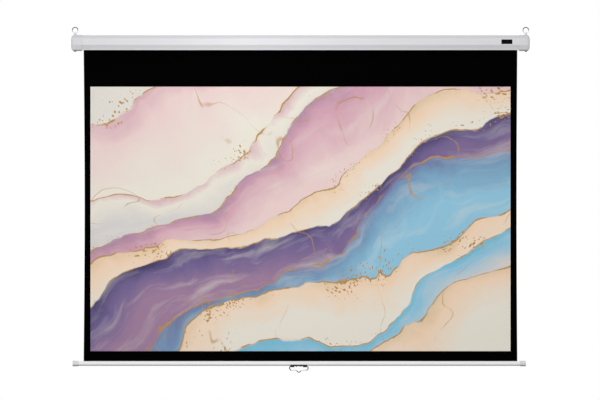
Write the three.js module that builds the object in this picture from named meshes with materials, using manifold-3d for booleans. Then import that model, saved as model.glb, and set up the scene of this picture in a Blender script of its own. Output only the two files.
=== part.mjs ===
// A pull-down projection screen, built as the pieces that it comes apart into.
// Millimetres, +Z up, the picture faces -Y. The origin is midway between the two
// hanging eyes, at the height where their hooks bear.
import * as THREE from 'three';
import { mergeVertices } from 'three/addons/utils/BufferGeometryUtils.js';
import Module from 'manifold-3d';

const wasm = await Module();
wasm.setup();

// Clearances
const SEAT_GAP = 0.3; // between pieces that rest on or in each other
const RUN_GAP = 0.8; // between pieces that turn past each other
const OVERRUN = 1; // how far a cutting solid runs past what it cuts

// Picture and fabric
const VIEW_WIDTH = 2154;
const VIEW_HEIGHT = 1356;
const SIDE_BORDER = 35;
const TOP_DROP = 187.4; // black fabric from the case down to the picture
const BOTTOM_BORDER = 51;
const FABRIC_THICKNESS = 0.45;
const COAT_THICKNESS = 0.25; // the white coat of the picture area
const FABRIC_WAIST = 4.5; // how far each side edge draws in at mid height
const WRAPS_LEFT = 2; // turns that stay on the roller when it is pulled down

// Case
const CASE_DEPTH = 78;
const CASE_HEIGHT = 76;
const CASE_SHEET = 1;
const CASE_BEND = 3;
const TOP_CHAMFER_RISE = 16.5;
const TOP_CHAMFER_RUN = 20;
const LOWER_CHAMFER_RISE = 21;
const LOWER_CHAMFER_RUN = 18;
const LIP_HEIGHT = 5.6;
const REAR_CHAMFER = 10;
const SLOT_WIDTH = 20;
const SLOT_HEM = 6;

// End caps
const CAP_WALL = 1.6;
const CAP_FLOOR = 4; // its wall under the case
const CAP_SLEEVE = 11.5; // how much of the case the cap covers
const CAP_REACH = 42.5; // how far the cap stands out past the case
const CAP_END_WALL = 2.4;
const DOME_LENGTH = 20;
const DOME_POWER = 2.8; // 2 is an ellipse, more is squarer
const DOME_SIDE_DROP = 20; // how far the domed end draws in at the front and back
const DOME_TOP_DROP = 28;
const DOME_LOWER_DROP = 28;
const BOSS_HEIGHT = 7.7; // above the case
const BOSS_BASE_RADIUS = 11.5;
const BOSS_TOP_RADIUS = 7;
const BOSS_FLARE_SHARES = [0.11, 0.3, 0.53, 1]; // of the spread, going down the boss
const BOSS_ROOT = 3.1; // where the flare ends, below the top of the case
const CHIN_HEIGHT = 5.5; // below the case
const CHIN_RADIUS = 8;
const PAD_RADIUS = 7.2;

// End brackets
const BRACKET_SHEET = 2;
const TONGUE_DROP = 4; // tongues below the top and above the bottom of the case
const TONGUE_WIDTH = 22;
const TONGUE_PAST_EYE = 8;

// Hanging eyes, with their washers and nuts
const EYE_BORE_RADIUS = 12.4;
const EYE_WIRE_RADIUS = 2.2;
const EYE_NECK = 1.2;
const EYE_NECK_RADIUS = 4.6;
const EYE_SHANK_RADIUS = 3;
const WASHER_RADIUS = 7;
const WASHER_THICKNESS = 1.2;
const NUT_RADIUS = 5.8;
const NUT_HEIGHT = 4.5;
const SHANK_PAST_NUT = 1.5;

// Cap screws
const CAP_SCREW_RADIUS = 1.9;
const CAP_SCREW_HEAD_RADIUS = 7;
const CAP_SCREW_HEAD = 3.2;
const CAP_SCREW_PAST = 3; // thread past the tongue
const SLEEVE_SCREW_IN = 6; // sleeve screw from the end of the case
const SLEEVE_SCREW_RADIUS = 1.6;
const SLEEVE_SCREW_HEAD_RADIUS = 3.4;
const SLEEVE_SCREW_HEAD = 1.6;
const SLEEVE_SCREW_PAST = 4; // thread inside the case

// Roller
const TUBE_RADIUS = 23;
const TUBE_WALL = 1.2;
const TUBE_OVERHANG = 1.5; // tube past each edge of the fabric
const PLUG_FLANGE = 6;
const PLUG_FLANGE_RADIUS = 26;
const PLUG_BODY = 32;
const SPIGOT_RADIUS = 11;
const SPIGOT_LENGTH = 14;
const AXLE_RADIUS = 4;
const MECHANISM_DEPTH = 13; // from the roller's flange to the bracket

// Spring motor
const SPRING_LENGTH = 420;
const SPRING_WIRE_RADIUS = 1.1;
const SPRING_TURNS = 20;
const ANCHOR_RADIUS = 19;
const ANCHOR_LENGTH = 16;

// Ratchet and pawls
const RATCHET_RADIUS = 9;
const RATCHET_FLOOR_RADIUS = 6.8;
const RATCHET_THICKNESS = 6;
const RATCHET_TEETH = 2;
const RAMP_SHARES = [0.14, 0.86]; // where the climb out of a notch begins and ends
const STOP_LEAN_SHARE = 0.005; // how far a notch's stop face leans back
const SOCKET_DEPTH = 4;
const SPEAR_THICKNESS = 4;
const SPEAR_WIDTH = 10;
const SPEAR_PAST = 6; // spear past the bracket
const PAWL_PIVOT_RADIUS = 17.5;
const PAWL_LENGTH = 13;
const PAWL_THICKNESS = 5;
const PAWL_EYE_RADIUS = 3.8;
const PAWL_TIP_RADIUS = 1.3;
const RIVET_RADIUS = 1.8;
const RIVET_HEAD_RADIUS = 3;
const RIVET_HEAD = 1.2;
const RIVET_DEPTH = 4; // how far the rivet goes into the flange

// Idler
const IDLER_PIN_INSIDE = 24; // how far the pin goes into the plug
const IDLER_HEAD_RADIUS = 7;
const IDLER_HEAD = 3;
const SPACER_RADIUS = 8;

// Weight bar
const BAR_HEIGHT = 24.4;
const BAR_DEPTH = 20;
const BAR_CORNER = 8.5;
const BAR_WALL = 1.4;
const BAR_PAST_FABRIC = 47.3; // bar past each edge of the fabric
const BAR_SHIFT = -6.5; // the bar has slid a little along its hem
const BAR_CAP_WALL = 2;
const BAR_CAP_SLEEVE = 27;
const BAR_CAP_END = 3;
const BAR_CAP_END_SHARES = [1, 0.96, 0.82]; // the outline's size towards the tip
const HEM_ROD_RADIUS = 2.5;
const HEM_DROP = 7; // hem rod's middle below the top of the bar
const HEM_SLOT = 1.8;
const POCKET_WALL = 1.6; // between the hem's pocket and the hollow below it

// Handle
const SADDLE_WIDTH = 85;
const HANDLE_SHIFT = -2.7; // the handle sits a little off the bar's middle
const SADDLE_WALL = 2;
const SADDLE_RISE = 5.5; // how far it comes up the sides of the bar
const LUG_WIDTH = 20.5;
const LUG_DEPTH = 15;
const PIVOT_DROP = 3.6; // bail's pivot below the bar
const LUG_WALL = 0.9;
const BAIL_WIRE_RADIUS = 2.2;
const BAIL_IN_LUG = 13;
const BAIL_SHIFT = 0.9; // its side play in the lugs
const BAIL_HALF_WIDTH = 48.5;
const BAIL_DROP = 19.6;
const BAIL_NOTCH_DROP = 30.2;
const BAIL_NOTCH_HALF_WIDTH = 16;
const BAIL_SHOULDER = 4; // straight wire between a lug and the bail's first bend
const BAIL_BEND = 2.5; // inside radius of its bends
const BAIL_WIDEST_SHARE = 0.5; // of the drop, where the bail is widest
const BAIL_FOOT_SHARE = 0.84; // of the half width, where its lower run begins
const HANDLE_SCREW_OFFSET = 11.3;
const HANDLE_SCREW_RADIUS = 1.6;
const HANDLE_SCREW_HEAD_RADIUS = 3.4;
const HANDLE_SCREW_HEAD = 3;
const HANDLE_SCREW_LENGTH = 7;

// Badge
const BADGE_WIDTH = 56;
const BADGE_HEIGHT = 23.4;
const BADGE_THICKNESS = 0.8;
const BADGE_FROM_END = 75; // badge's middle from the end of the case
const BADGE_ABOVE_AXIS = 4.5;

// Facets
const BEND_STEPS = 3;
const DOME_STEPS = 5;
const ROUND_SIDES = 24;
const ROLLER_SIDES = 40;
const SMALL_SIDES = 16;
const NUT_SIDES = 6;
const RATCHET_STEPS = 14;
const PAWL_STEPS = 8;
const SPRING_STEPS = 8; // per turn
const SPRING_SIDES = 5;
const WAIST_STEPS = 12;
const EYE_STEPS = 24;
const EYE_SIDES = 8;
const BAIL_STEPS = 56;
const BAIL_SIDES = 8;

// Sizes that follow from the ones above
const HALF_DEPTH = CASE_DEPTH / 2;
const HALF_HEIGHT = CASE_HEIGHT / 2;
const FABRIC_WIDTH = VIEW_WIDTH + 2 * SIDE_BORDER;
const TUBE_HALF = FABRIC_WIDTH / 2 + TUBE_OVERHANG;
const FLANGE_FACE = TUBE_HALF + SEAT_GAP + PLUG_FLANGE; // outer face of a plug's flange
const CASE_HALF = FLANGE_FACE + MECHANISM_DEPTH - SEAT_GAP;
const WRAP_INNER_RADIUS = TUBE_RADIUS + SEAT_GAP;
const WRAP_RADIUS = WRAP_INNER_RADIUS + WRAPS_LEFT * FABRIC_THICKNESS;
const FABRIC_FRONT = WRAP_RADIUS + SEAT_GAP; // the sheet leaves the roller at the rear
const FABRIC_MIDDLE = FABRIC_FRONT + FABRIC_THICKNESS / 2;
const EYE_OUT = CAP_REACH - DOME_LENGTH; // eye from the end of the case
const EYE_BOTTOM = -2 * (EYE_BORE_RADIUS + EYE_WIRE_RADIUS);
const BOSS_TOP = EYE_BOTTOM - EYE_NECK - SEAT_GAP;
const CASE_TOP = BOSS_TOP - BOSS_HEIGHT;
const AXIS_HEIGHT = CASE_TOP - HALF_HEIGHT; // roller's axis
const CASE_BOTTOM = CASE_TOP - CASE_HEIGHT;
const VIEW_TOP = CASE_BOTTOM - TOP_DROP;
const VIEW_BOTTOM = VIEW_TOP - VIEW_HEIGHT;
const BAR_TOP = VIEW_BOTTOM - BOTTOM_BORDER;
const HEM_INNER_RADIUS = HEM_ROD_RADIUS + SEAT_GAP;
const HEM_RADIUS = HEM_INNER_RADIUS + FABRIC_THICKNESS;
const POCKET_RADIUS = HEM_RADIUS + SEAT_GAP;
const BAR_HALF = FABRIC_WIDTH / 2 + BAR_PAST_FABRIC;
const TONGUE_FACE = HALF_HEIGHT - TONGUE_DROP; // outer face of a tongue, from the axis
const BORE_RADIUS = AXLE_RADIUS + SEAT_GAP;

// Materials
const paint = (color, roughness, metalness = 0) =>
  new THREE.MeshStandardMaterial({ color, roughness, metalness });
const WHITE_STEEL = paint(0xdcdcde, 0.4);
const WHITE_PLASTIC = paint(0xd8d8da, 0.45);
const BLACK_FABRIC = paint(0x070707, 0.9);
const SCREEN_WHITE = paint(0xe3e2de, 0.85);
const CHROME = paint(0xd6d8da, 0.15, 1);
const ZINC = paint(0xb4b6b8, 0.4, 1);
const DARK_ZINC = paint(0x3a3a3c, 0.45, 1);
const SPRING_STEEL = paint(0x6f7276, 0.4, 1);
const NYLON = paint(0xe6e2d6, 0.5);
const BLACK_PLASTIC = paint(0x0c0c0d, 0.45);

// A closed geometry as a solid that can be cut and joined, and back.
function toSolid(geometry) {
  const bare = geometry.clone();
  bare.deleteAttribute('normal');
  bare.deleteAttribute('uv');
  const merged = mergeVertices(bare, 1e-4);
  return new wasm.Manifold(
    new wasm.Mesh({
      numProp: 3,
      vertProperties: new Float32Array(merged.attributes.position.array),
      triVerts: new Uint32Array(merged.index.array),
    }),
  );
}

function toGeometry(solid) {
  const mesh = solid.getMesh();
  return new THREE.BufferGeometry()
    .setAttribute('position', new THREE.BufferAttribute(new Float32Array(mesh.vertProperties), 3))
    .setIndex(new THREE.BufferAttribute(new Uint32Array(mesh.triVerts), 1));
}

function cut(base, ...tools) {
  return toGeometry(tools.reduce((solid, tool) => solid.subtract(toSolid(tool)), toSolid(base)));
}

function join(...parts) {
  return toGeometry(parts.slice(1).reduce((solid, part) => solid.add(toSolid(part)), toSolid(parts[0])));
}

// A named piece in its group, at its place.
function piece(group, name, geometry, material, place = [0, 0, 0]) {
  const faceted = geometry.index ? geometry.toNonIndexed() : geometry;
  faceted.computeVertexNormals();
  const mesh = new THREE.Mesh(faceted, material);
  mesh.name = name;
  mesh.position.set(...place);
  group.add(mesh);
  return mesh;
}

function groupAt(parent, x, y, z) {
  const group = new THREE.Group();
  group.position.set(x, y, z);
  parent.add(group);
  return group;
}

// Outlines are lists of points in the YZ plane, counter-clockwise seen from +X.
const point = (y, z) => new THREE.Vector2(y, z);

// The corners of a path, each replaced by an arc.
function rounded(corners, radius, closed) {
  const count = corners.length;
  return corners.flatMap((corner, i) => {
    if (!closed && (i === 0 || i === count - 1)) return [corner.clone()];
    const back = corners[(i + count - 1) % count].clone().sub(corner);
    const on = corners[(i + 1) % count].clone().sub(corner);
    const half = Math.acos(back.dot(on) / (back.length() * on.length())) / 2;
    const longest = 0.45 * Math.min(back.length(), on.length());
    const tangent = Math.min(radius / Math.tan(half), longest);
    const bend = tangent * Math.tan(half);
    back.normalize();
    on.normalize();
    const middle = corner.clone().addScaledVector(back.clone().add(on).normalize(), bend / Math.sin(half));
    const from = corner.clone().addScaledVector(back, tangent).sub(middle).angle();
    const to = corner.clone().addScaledVector(on, tangent).sub(middle).angle();
    const turn = Math.atan2(Math.sin(to - from), Math.cos(to - from));
    return Array.from({ length: BEND_STEPS + 1 }, (_, k) => {
      const angle = from + (turn * k) / BEND_STEPS;
      return point(middle.x + bend * Math.cos(angle), middle.y + bend * Math.sin(angle));
    });
  });
}

// A path moved sideways, to its left where the distance is positive.
function shifted(path, distance, closed) {
  const count = path.length;
  const leftOf = (a, b) => {
    const along = b.clone().sub(a).normalize();
    return point(-along.y, along.x);
  };
  return path.map((p, i) => {
    const first = !closed && i === 0;
    const last = !closed && i === count - 1;
    const before = first ? null : leftOf(path[(i + count - 1) % count], p);
    const after = last ? null : leftOf(p, path[(i + 1) % count]);
    const a = before || after;
    const b = after || before;
    return p.clone().addScaledVector(a.clone().add(b), distance / (1 + a.dot(b)));
  });
}

function circle(radius, sides, y = 0, z = 0) {
  return Array.from({ length: sides }, (_, i) => {
    const angle = (2 * Math.PI * i) / sides;
    return point(y + radius * Math.cos(angle), z + radius * Math.sin(angle));
  });
}

function rectangle(depth, height, y = 0, z = 0) {
  return [
    point(y + depth / 2, z - height / 2),
    point(y + depth / 2, z + height / 2),
    point(y - depth / 2, z + height / 2),
    point(y - depth / 2, z - height / 2),
  ];
}

// An outline in YZ, extruded from one X to another.
const YZ_TO_X = new THREE.Matrix4().makeBasis(
  new THREE.Vector3(0, 1, 0),
  new THREE.Vector3(0, 0, 1),
  new THREE.Vector3(1, 0, 0),
);
function alongX(outline, from, to) {
  const options = { depth: to - from, bevelEnabled: false };
  return new THREE.ExtrudeGeometry(new THREE.Shape(outline), options)
    .applyMatrix4(YZ_TO_X)
    .translate(from, 0, 0);
}

// An outline in XZ, extruded from one Y back to another.
const XZ_TO_Y = new THREE.Matrix4().makeBasis(
  new THREE.Vector3(1, 0, 0),
  new THREE.Vector3(0, 0, 1),
  new THREE.Vector3(0, -1, 0),
);
function alongY(outline, from, to) {
  const options = { depth: to - from, bevelEnabled: false };
  return new THREE.ExtrudeGeometry(new THREE.Shape(outline), options)
    .applyMatrix4(XZ_TO_Y)
    .translate(0, to, 0);
}

// A solid turned about the X axis, from a profile of [x, radius] pairs that runs along +X.
function turnedX(profile, sides) {
  const points = profile.map(([x, radius]) => new THREE.Vector2(radius, x));
  return new THREE.LatheGeometry(points, sides).rotateZ(-Math.PI / 2);
}

// The same about the Z axis, from [z, radius] pairs that run along +Z.
function turnedZ(profile, sides) {
  const points = profile.map(([z, radius]) => new THREE.Vector2(radius, z));
  return new THREE.LatheGeometry(points, sides).rotateX(Math.PI / 2);
}

const rodX = (radius, from, to, sides) =>
  turnedX([[from, 0], [from, radius], [to, radius], [to, 0]], sides);
const rodZ = (radius, from, to, sides) =>
  turnedZ([[from, 0], [from, radius], [to, radius], [to, 0]], sides);
const ringX = (inner, outer, from, to, sides) =>
  turnedX([[from, inner], [from, outer], [to, outer], [to, inner], [from, inner]], sides);
const ringZ = (inner, outer, from, to, sides) =>
  turnedZ([[from, inner], [from, outer], [to, outer], [to, inner], [from, inner]], sides);

// A skin over outlines that stand at rising X, with flat ends.
function loft(stations) {
  const count = stations[0].outline.length;
  const corners = [];
  const faces = [];
  stations.forEach(({ x, outline }) => outline.forEach((p) => corners.push(x, p.x, p.y)));
  const middles = [stations[0], stations[stations.length - 1]].map(({ x }) => {
    corners.push(x, 0, 0);
    return corners.length / 3 - 1;
  });
  const lastRing = (stations.length - 1) * count;
  for (let i = 0; i < count; i++) {
    const j = (i + 1) % count;
    faces.push(middles[0], j, i, middles[1], lastRing + i, lastRing + j);
    for (let ring = 0; ring < lastRing; ring += count) {
      faces.push(ring + i, ring + j, ring + count + j, ring + i, ring + count + j, ring + count + i);
    }
  }
  return new THREE.BufferGeometry()
    .setAttribute('position', new THREE.Float32BufferAttribute(corners, 3))
    .setIndex(faces);
}

// The outside of the case as a convex outline, grown by a distance, and by more at its floor.
const FACE_BOTTOM = -HALF_HEIGHT + LIP_HEIGHT + LOWER_CHAMFER_RISE;
const LIP_FRONT = -HALF_DEPTH + LOWER_CHAMFER_RUN;
function caseOutline(growth, floor = growth) {
  const bottom = -HALF_HEIGHT + growth - floor;
  const corners = [
    point(HALF_DEPTH, bottom),
    point(HALF_DEPTH, HALF_HEIGHT - REAR_CHAMFER),
    point(HALF_DEPTH - REAR_CHAMFER, HALF_HEIGHT),
    point(-HALF_DEPTH + TOP_CHAMFER_RUN, HALF_HEIGHT),
    point(-HALF_DEPTH, HALF_HEIGHT - TOP_CHAMFER_RISE),
    point(-HALF_DEPTH, FACE_BOTTOM),
    point(LIP_FRONT, bottom),
  ];
  return rounded(shifted(corners, -growth, true), CASE_BEND + growth, true);
}

// The case: one rolled sheet with a hemmed slot in its underside.
function caseShell() {
  const slotRear = FABRIC_MIDDLE + SLOT_WIDTH / 2 - SLOT_HEM / 2;
  const slotFront = slotRear - SLOT_WIDTH;
  const path = [
    point(slotRear, -HALF_HEIGHT + SLOT_HEM),
    point(slotRear, -HALF_HEIGHT),
    point(HALF_DEPTH, -HALF_HEIGHT),
    point(HALF_DEPTH, HALF_HEIGHT - REAR_CHAMFER),
    point(HALF_DEPTH - REAR_CHAMFER, HALF_HEIGHT),
    point(-HALF_DEPTH + TOP_CHAMFER_RUN, HALF_HEIGHT),
    point(-HALF_DEPTH, HALF_HEIGHT - TOP_CHAMFER_RISE),
    point(-HALF_DEPTH, FACE_BOTTOM),
    point(LIP_FRONT, -HALF_HEIGHT + LIP_HEIGHT),
    point(LIP_FRONT, -HALF_HEIGHT),
    point(slotFront, -HALF_HEIGHT),
    point(slotFront, -HALF_HEIGHT + SLOT_HEM),
  ];
  const outside = rounded(path, CASE_BEND, false);
  const inside = shifted(outside, CASE_SHEET, false);
  const sheet = alongX([...outside, ...inside.reverse()], -CASE_HALF, CASE_HALF);
  return cut(sheet, sleeveScrewHole(CASE_HALF), sleeveScrewHole(-CASE_HALF));
}

// The hole for the screw that holds a cap's sleeve to the case, at one end of the case.
function sleeveScrewHole(end) {
  const x = end - Math.sign(end) * SLEEVE_SCREW_IN;
  const bottom = -HALF_HEIGHT - CAP_WALL - OVERRUN;
  const top = -HALF_HEIGHT + CASE_SHEET + OVERRUN;
  return rodZ(SLEEVE_SCREW_RADIUS + SEAT_GAP, bottom, top, SMALL_SIDES).translate(x, 0, 0);
}

// From here to the end brackets, X runs outwards from the end of the case.
function domed(growth, floor, length, start) {
  const outline = caseOutline(growth, floor);
  const stations = [{ x: start, outline }];
  for (let k = 0; k <= DOME_STEPS; k++) {
    const angle = ((Math.PI / 2) * k) / DOME_STEPS;
    const bow = 1 - Math.cos(angle) ** (2 / DOME_POWER);
    const drawn = (p) => {
      const down = p.y < 0;
      const drop = down ? DOME_LOWER_DROP : DOME_TOP_DROP;
      const side = 1 - (bow * DOME_SIDE_DROP) / (HALF_DEPTH + growth);
      return point(p.x * side, p.y * (1 - (bow * drop) / (HALF_HEIGHT + (down ? floor : growth))));
    };
    const reach = length * Math.sin(angle) ** (2 / DOME_POWER);
    stations.push({ x: EYE_OUT + reach, outline: outline.map(drawn) });
  }
  return loft(stations);
}

function endCap() {
  const wall = SEAT_GAP + CAP_WALL;
  const floor = SEAT_GAP + CAP_FLOOR;
  const shell = domed(wall, floor, DOME_LENGTH, -CAP_SLEEVE);
  const cavity = domed(SEAT_GAP, SEAT_GAP, DOME_LENGTH - CAP_END_WALL, -CAP_SLEEVE - OVERRUN);
  const bossTop = HALF_HEIGHT + BOSS_HEIGHT;
  const spread = BOSS_BASE_RADIUS - BOSS_TOP_RADIUS;
  const flare = BOSS_FLARE_SHARES.map((share, k) => {
    const down = ((BOSS_HEIGHT + BOSS_ROOT) * (k + 1)) / BOSS_FLARE_SHARES.length;
    return [bossTop - down, BOSS_TOP_RADIUS + spread * share];
  });
  const boss = turnedZ(
    [
      [TONGUE_FACE, 0],
      [TONGUE_FACE, BOSS_BASE_RADIUS],
      ...flare.reverse(),
      [bossTop, BOSS_TOP_RADIUS],
      [bossTop, 0],
    ],
    ROUND_SIDES,
  ).translate(EYE_OUT, 0, 0);
  const chin = turnedZ(
    [
      [-HALF_HEIGHT - CHIN_HEIGHT, 0],
      [-HALF_HEIGHT - CHIN_HEIGHT, CHIN_RADIUS],
      [-HALF_HEIGHT - floor, BOSS_BASE_RADIUS],
      [-TONGUE_FACE, BOSS_BASE_RADIUS],
      [-TONGUE_FACE, 0],
    ],
    ROUND_SIDES,
  ).translate(EYE_OUT, 0, 0);
  const hollow = cut(join(shell, boss, chin), cavity);
  const padFrom = TONGUE_FACE + SEAT_GAP;
  const padTo = HALF_HEIGHT + wall / 2;
  const topPad = rodZ(PAD_RADIUS, padFrom, padTo, ROUND_SIDES).translate(EYE_OUT, 0, 0);
  const lowerPad = rodZ(PAD_RADIUS, -padTo, -padFrom, ROUND_SIDES).translate(EYE_OUT, 0, 0);
  const eyeBore = EYE_SHANK_RADIUS + SEAT_GAP;
  const eyeHole = rodZ(eyeBore, 0, bossTop + OVERRUN, SMALL_SIDES).translate(EYE_OUT, 0, 0);
  const screwBottom = -HALF_HEIGHT - CHIN_HEIGHT - OVERRUN;
  const screwBore = CAP_SCREW_RADIUS + SEAT_GAP;
  const screwHole = rodZ(screwBore, screwBottom, 0, SMALL_SIDES).translate(EYE_OUT, 0, 0);
  const sleeveHole = sleeveScrewHole(CASE_HALF).translate(-CASE_HALF, 0, -SEAT_GAP);
  const recess = rodZ(
    SLEEVE_SCREW_HEAD_RADIUS + SEAT_GAP,
    -HALF_HEIGHT - floor - OVERRUN,
    -HALF_HEIGHT - wall,
    SMALL_SIDES,
  ).translate(-SLEEVE_SCREW_IN, 0, 0);
  return cut(join(hollow, topPad, lowerPad), eyeHole, screwHole, sleeveHole, recess);
}

// A steel plate that closes the end of the case, with a tongue for the eye and one for the screw.
function endBracket(axleHole) {
  const web = alongX(caseOutline(0), SEAT_GAP, SEAT_GAP + BRACKET_SHEET);
  const tongueEnd = EYE_OUT + TONGUE_PAST_EYE;
  const tongue = (z) => alongX(rectangle(TONGUE_WIDTH, BRACKET_SHEET, 0, z), SEAT_GAP, tongueEnd);
  const middle = TONGUE_FACE - BRACKET_SHEET / 2;
  const eyeBore = EYE_SHANK_RADIUS + SEAT_GAP;
  const eyeHole = rodZ(eyeBore, 0, HALF_HEIGHT, SMALL_SIDES).translate(EYE_OUT, 0, 0);
  const screwBore = CAP_SCREW_RADIUS + SEAT_GAP;
  const screwHole = rodZ(screwBore, -HALF_HEIGHT, 0, SMALL_SIDES).translate(EYE_OUT, 0, 0);
  return cut(join(web, tongue(middle), tongue(-middle)), eyeHole, screwHole, axleHole);
}

// The slot that keeps the ratchet's spear from turning, and the hole of the idler's pin.
const axleHoleEnd = SEAT_GAP + BRACKET_SHEET + OVERRUN;
const spearSlot = () =>
  alongX(rectangle(SPEAR_THICKNESS + 2 * SEAT_GAP, SPEAR_WIDTH + 2 * SEAT_GAP), -OVERRUN, axleHoleEnd);
const pinHole = () => rodX(BORE_RADIUS, -OVERRUN, axleHoleEnd, ROUND_SIDES);

// The eye, about the Z axis of its shank, in the part's own heights.
function hangingEye() {
  const ringRadius = EYE_BORE_RADIUS + EYE_WIRE_RADIUS;
  const ring = new THREE.TorusGeometry(ringRadius, EYE_WIRE_RADIUS, EYE_SIDES, EYE_STEPS)
    .rotateX(Math.PI / 2)
    .translate(0, 0, -EYE_BORE_RADIUS);
  const neckBottom = EYE_BOTTOM - EYE_NECK;
  const shank = turnedZ(
    [
      [SHANK_END, 0],
      [SHANK_END, EYE_SHANK_RADIUS],
      [neckBottom, EYE_SHANK_RADIUS],
      [neckBottom, EYE_NECK_RADIUS],
      [EYE_BOTTOM, EYE_NECK_RADIUS],
      [EYE_BOTTOM + EYE_WIRE_RADIUS, EYE_WIRE_RADIUS],
      [EYE_BOTTOM + EYE_WIRE_RADIUS, 0],
    ],
    SMALL_SIDES,
  );
  return join(ring, shank);
}
const TONGUE_UNDERSIDE = AXIS_HEIGHT + TONGUE_FACE - BRACKET_SHEET;
const WASHER_TOP = TONGUE_UNDERSIDE - SEAT_GAP;
const NUT_TOP = WASHER_TOP - WASHER_THICKNESS - SEAT_GAP;
const SHANK_END = NUT_TOP - NUT_HEIGHT - SHANK_PAST_NUT;

function eyeWasher() {
  const bottom = WASHER_TOP - WASHER_THICKNESS;
  return ringZ(EYE_SHANK_RADIUS + SEAT_GAP, WASHER_RADIUS, bottom, WASHER_TOP, ROUND_SIDES);
}

function eyeNut() {
  const bottom = NUT_TOP - NUT_HEIGHT;
  const bore = rodZ(EYE_SHANK_RADIUS + SEAT_GAP, bottom - OVERRUN, NUT_TOP + OVERRUN, SMALL_SIDES);
  return cut(rodZ(NUT_RADIUS, bottom, NUT_TOP, NUT_SIDES), bore);
}

// A screw with a domed head at the bottom and its thread going up.
function panScrew(radius, headRadius, head, length) {
  const crown = headRadius / 2;
  return turnedZ(
    [
      [-head, 0],
      [-head, crown],
      [-head / 2, headRadius],
      [0, headRadius],
      [0, radius],
      [length, radius],
      [length, 0],
    ],
    SMALL_SIDES,
  );
}

// Roller, about its own axis. X runs outwards at each end.
const TUBE_BORE = TUBE_RADIUS - TUBE_WALL;
const PLUG_RADIUS = TUBE_BORE - SEAT_GAP;
const PLUG_INNER_FACE = TUBE_HALF - PLUG_BODY;
function rollerPlug(spigot) {
  const spigotEnd = PLUG_INNER_FACE - SPIGOT_LENGTH;
  const flange = FLANGE_FACE - PLUG_FLANGE;
  const start = spigot
    ? [[spigotEnd, BORE_RADIUS], [spigotEnd, SPIGOT_RADIUS]]
    : [[PLUG_INNER_FACE, BORE_RADIUS]];
  const step = spigot ? [[PLUG_INNER_FACE, SPIGOT_RADIUS]] : [];
  return turnedX(
    [
      ...start,
      ...step,
      [PLUG_INNER_FACE, PLUG_RADIUS],
      [flange, PLUG_RADIUS],
      [flange, PLUG_FLANGE_RADIUS],
      [FLANGE_FACE, PLUG_FLANGE_RADIUS],
      [FLANGE_FACE, BORE_RADIUS],
      start[0],
    ],
    ROLLER_SIDES,
  );
}

// Where the pawls stand: lifted clear at rest, and dropped into the ratchet at their limit.
const PAWL_LIFTED_RADIUS = RATCHET_RADIUS + PAWL_TIP_RADIUS + RUN_GAP;
const PAWL_DROPPED_RADIUS = RATCHET_FLOOR_RADIUS + PAWL_TIP_RADIUS + SEAT_GAP;
const pawlLean = (tipRadius) =>
  Math.acos(
    (PAWL_PIVOT_RADIUS ** 2 + PAWL_LENGTH ** 2 - tipRadius ** 2) / (2 * PAWL_PIVOT_RADIUS * PAWL_LENGTH),
  );
const LIFTED_LEAN = pawlLean(PAWL_LIFTED_RADIUS);
const DROPPED_LEAN = pawlLean(PAWL_DROPPED_RADIUS);
const DROPPED_BEARING = Math.asin((PAWL_LENGTH * Math.sin(DROPPED_LEAN)) / PAWL_DROPPED_RADIUS);
const PAWL_BEARINGS = { upper: Math.PI / 2, lower: -Math.PI / 2 };

// The fixed ratchet: sawteeth round a socket for the shaft, and a flat spear for the bracket.
function ratchetHub() {
  const face = FLANGE_FACE + RUN_GAP;
  const back = face + RATCHET_THICKNESS;
  const pitch = (2 * Math.PI) / RATCHET_TEETH;
  const tipRoom = (PAWL_TIP_RADIUS + SEAT_GAP) / PAWL_DROPPED_RADIUS;
  const stopBearing = PAWL_BEARINGS.upper + DROPPED_BEARING + tipRoom;
  const [floorShare, crestShare] = RAMP_SHARES;
  const outline = [];
  for (let tooth = RATCHET_TEETH; tooth > 0; tooth--) {
    for (let k = RATCHET_STEPS; k >= 0; k--) {
      const share = k / RATCHET_STEPS;
      const climb = Math.min(Math.max((share - floorShare) / (crestShare - floorShare), 0), 1);
      const radius = RATCHET_FLOOR_RADIUS + (RATCHET_RADIUS - RATCHET_FLOOR_RADIUS) * climb;
      const back = Math.min(share, 1 - STOP_LEAN_SHARE);
      const bearing = stopBearing + (1 - back - tooth) * pitch;
      outline.push(point(radius * Math.cos(bearing), radius * Math.sin(bearing)));
    }
  }
  const spearEnd = CASE_HALF + SEAT_GAP + BRACKET_SHEET + SPEAR_PAST;
  const spear = alongX(rectangle(SPEAR_THICKNESS, SPEAR_WIDTH), back - OVERRUN, spearEnd);
  const socket = rodX(BORE_RADIUS, face - OVERRUN, face + SOCKET_DEPTH, ROUND_SIDES);
  return cut(join(alongX(outline, face, back), spear), socket);
}

// A pawl about its pivot, its arm lying along -Z before it is turned.
function pawl() {
  const tilt = Math.asin((PAWL_EYE_RADIUS - PAWL_TIP_RADIUS) / PAWL_LENGTH);
  const arc = (radius, z, from, to) =>
    Array.from({ length: PAWL_STEPS + 1 }, (_, k) => {
      const angle = from + ((to - from) * k) / PAWL_STEPS;
      return point(radius * Math.cos(angle), z + radius * Math.sin(angle));
    });
  const outline = [
    ...arc(PAWL_EYE_RADIUS, 0, -tilt, Math.PI + tilt),
    ...arc(PAWL_TIP_RADIUS, -PAWL_LENGTH, Math.PI + tilt, 2 * Math.PI - tilt),
  ];
  const body = alongX(outline, 0, PAWL_THICKNESS);
  return cut(body, rodX(RIVET_RADIUS + SEAT_GAP, -OVERRUN, PAWL_THICKNESS + OVERRUN, SMALL_SIDES));
}

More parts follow.
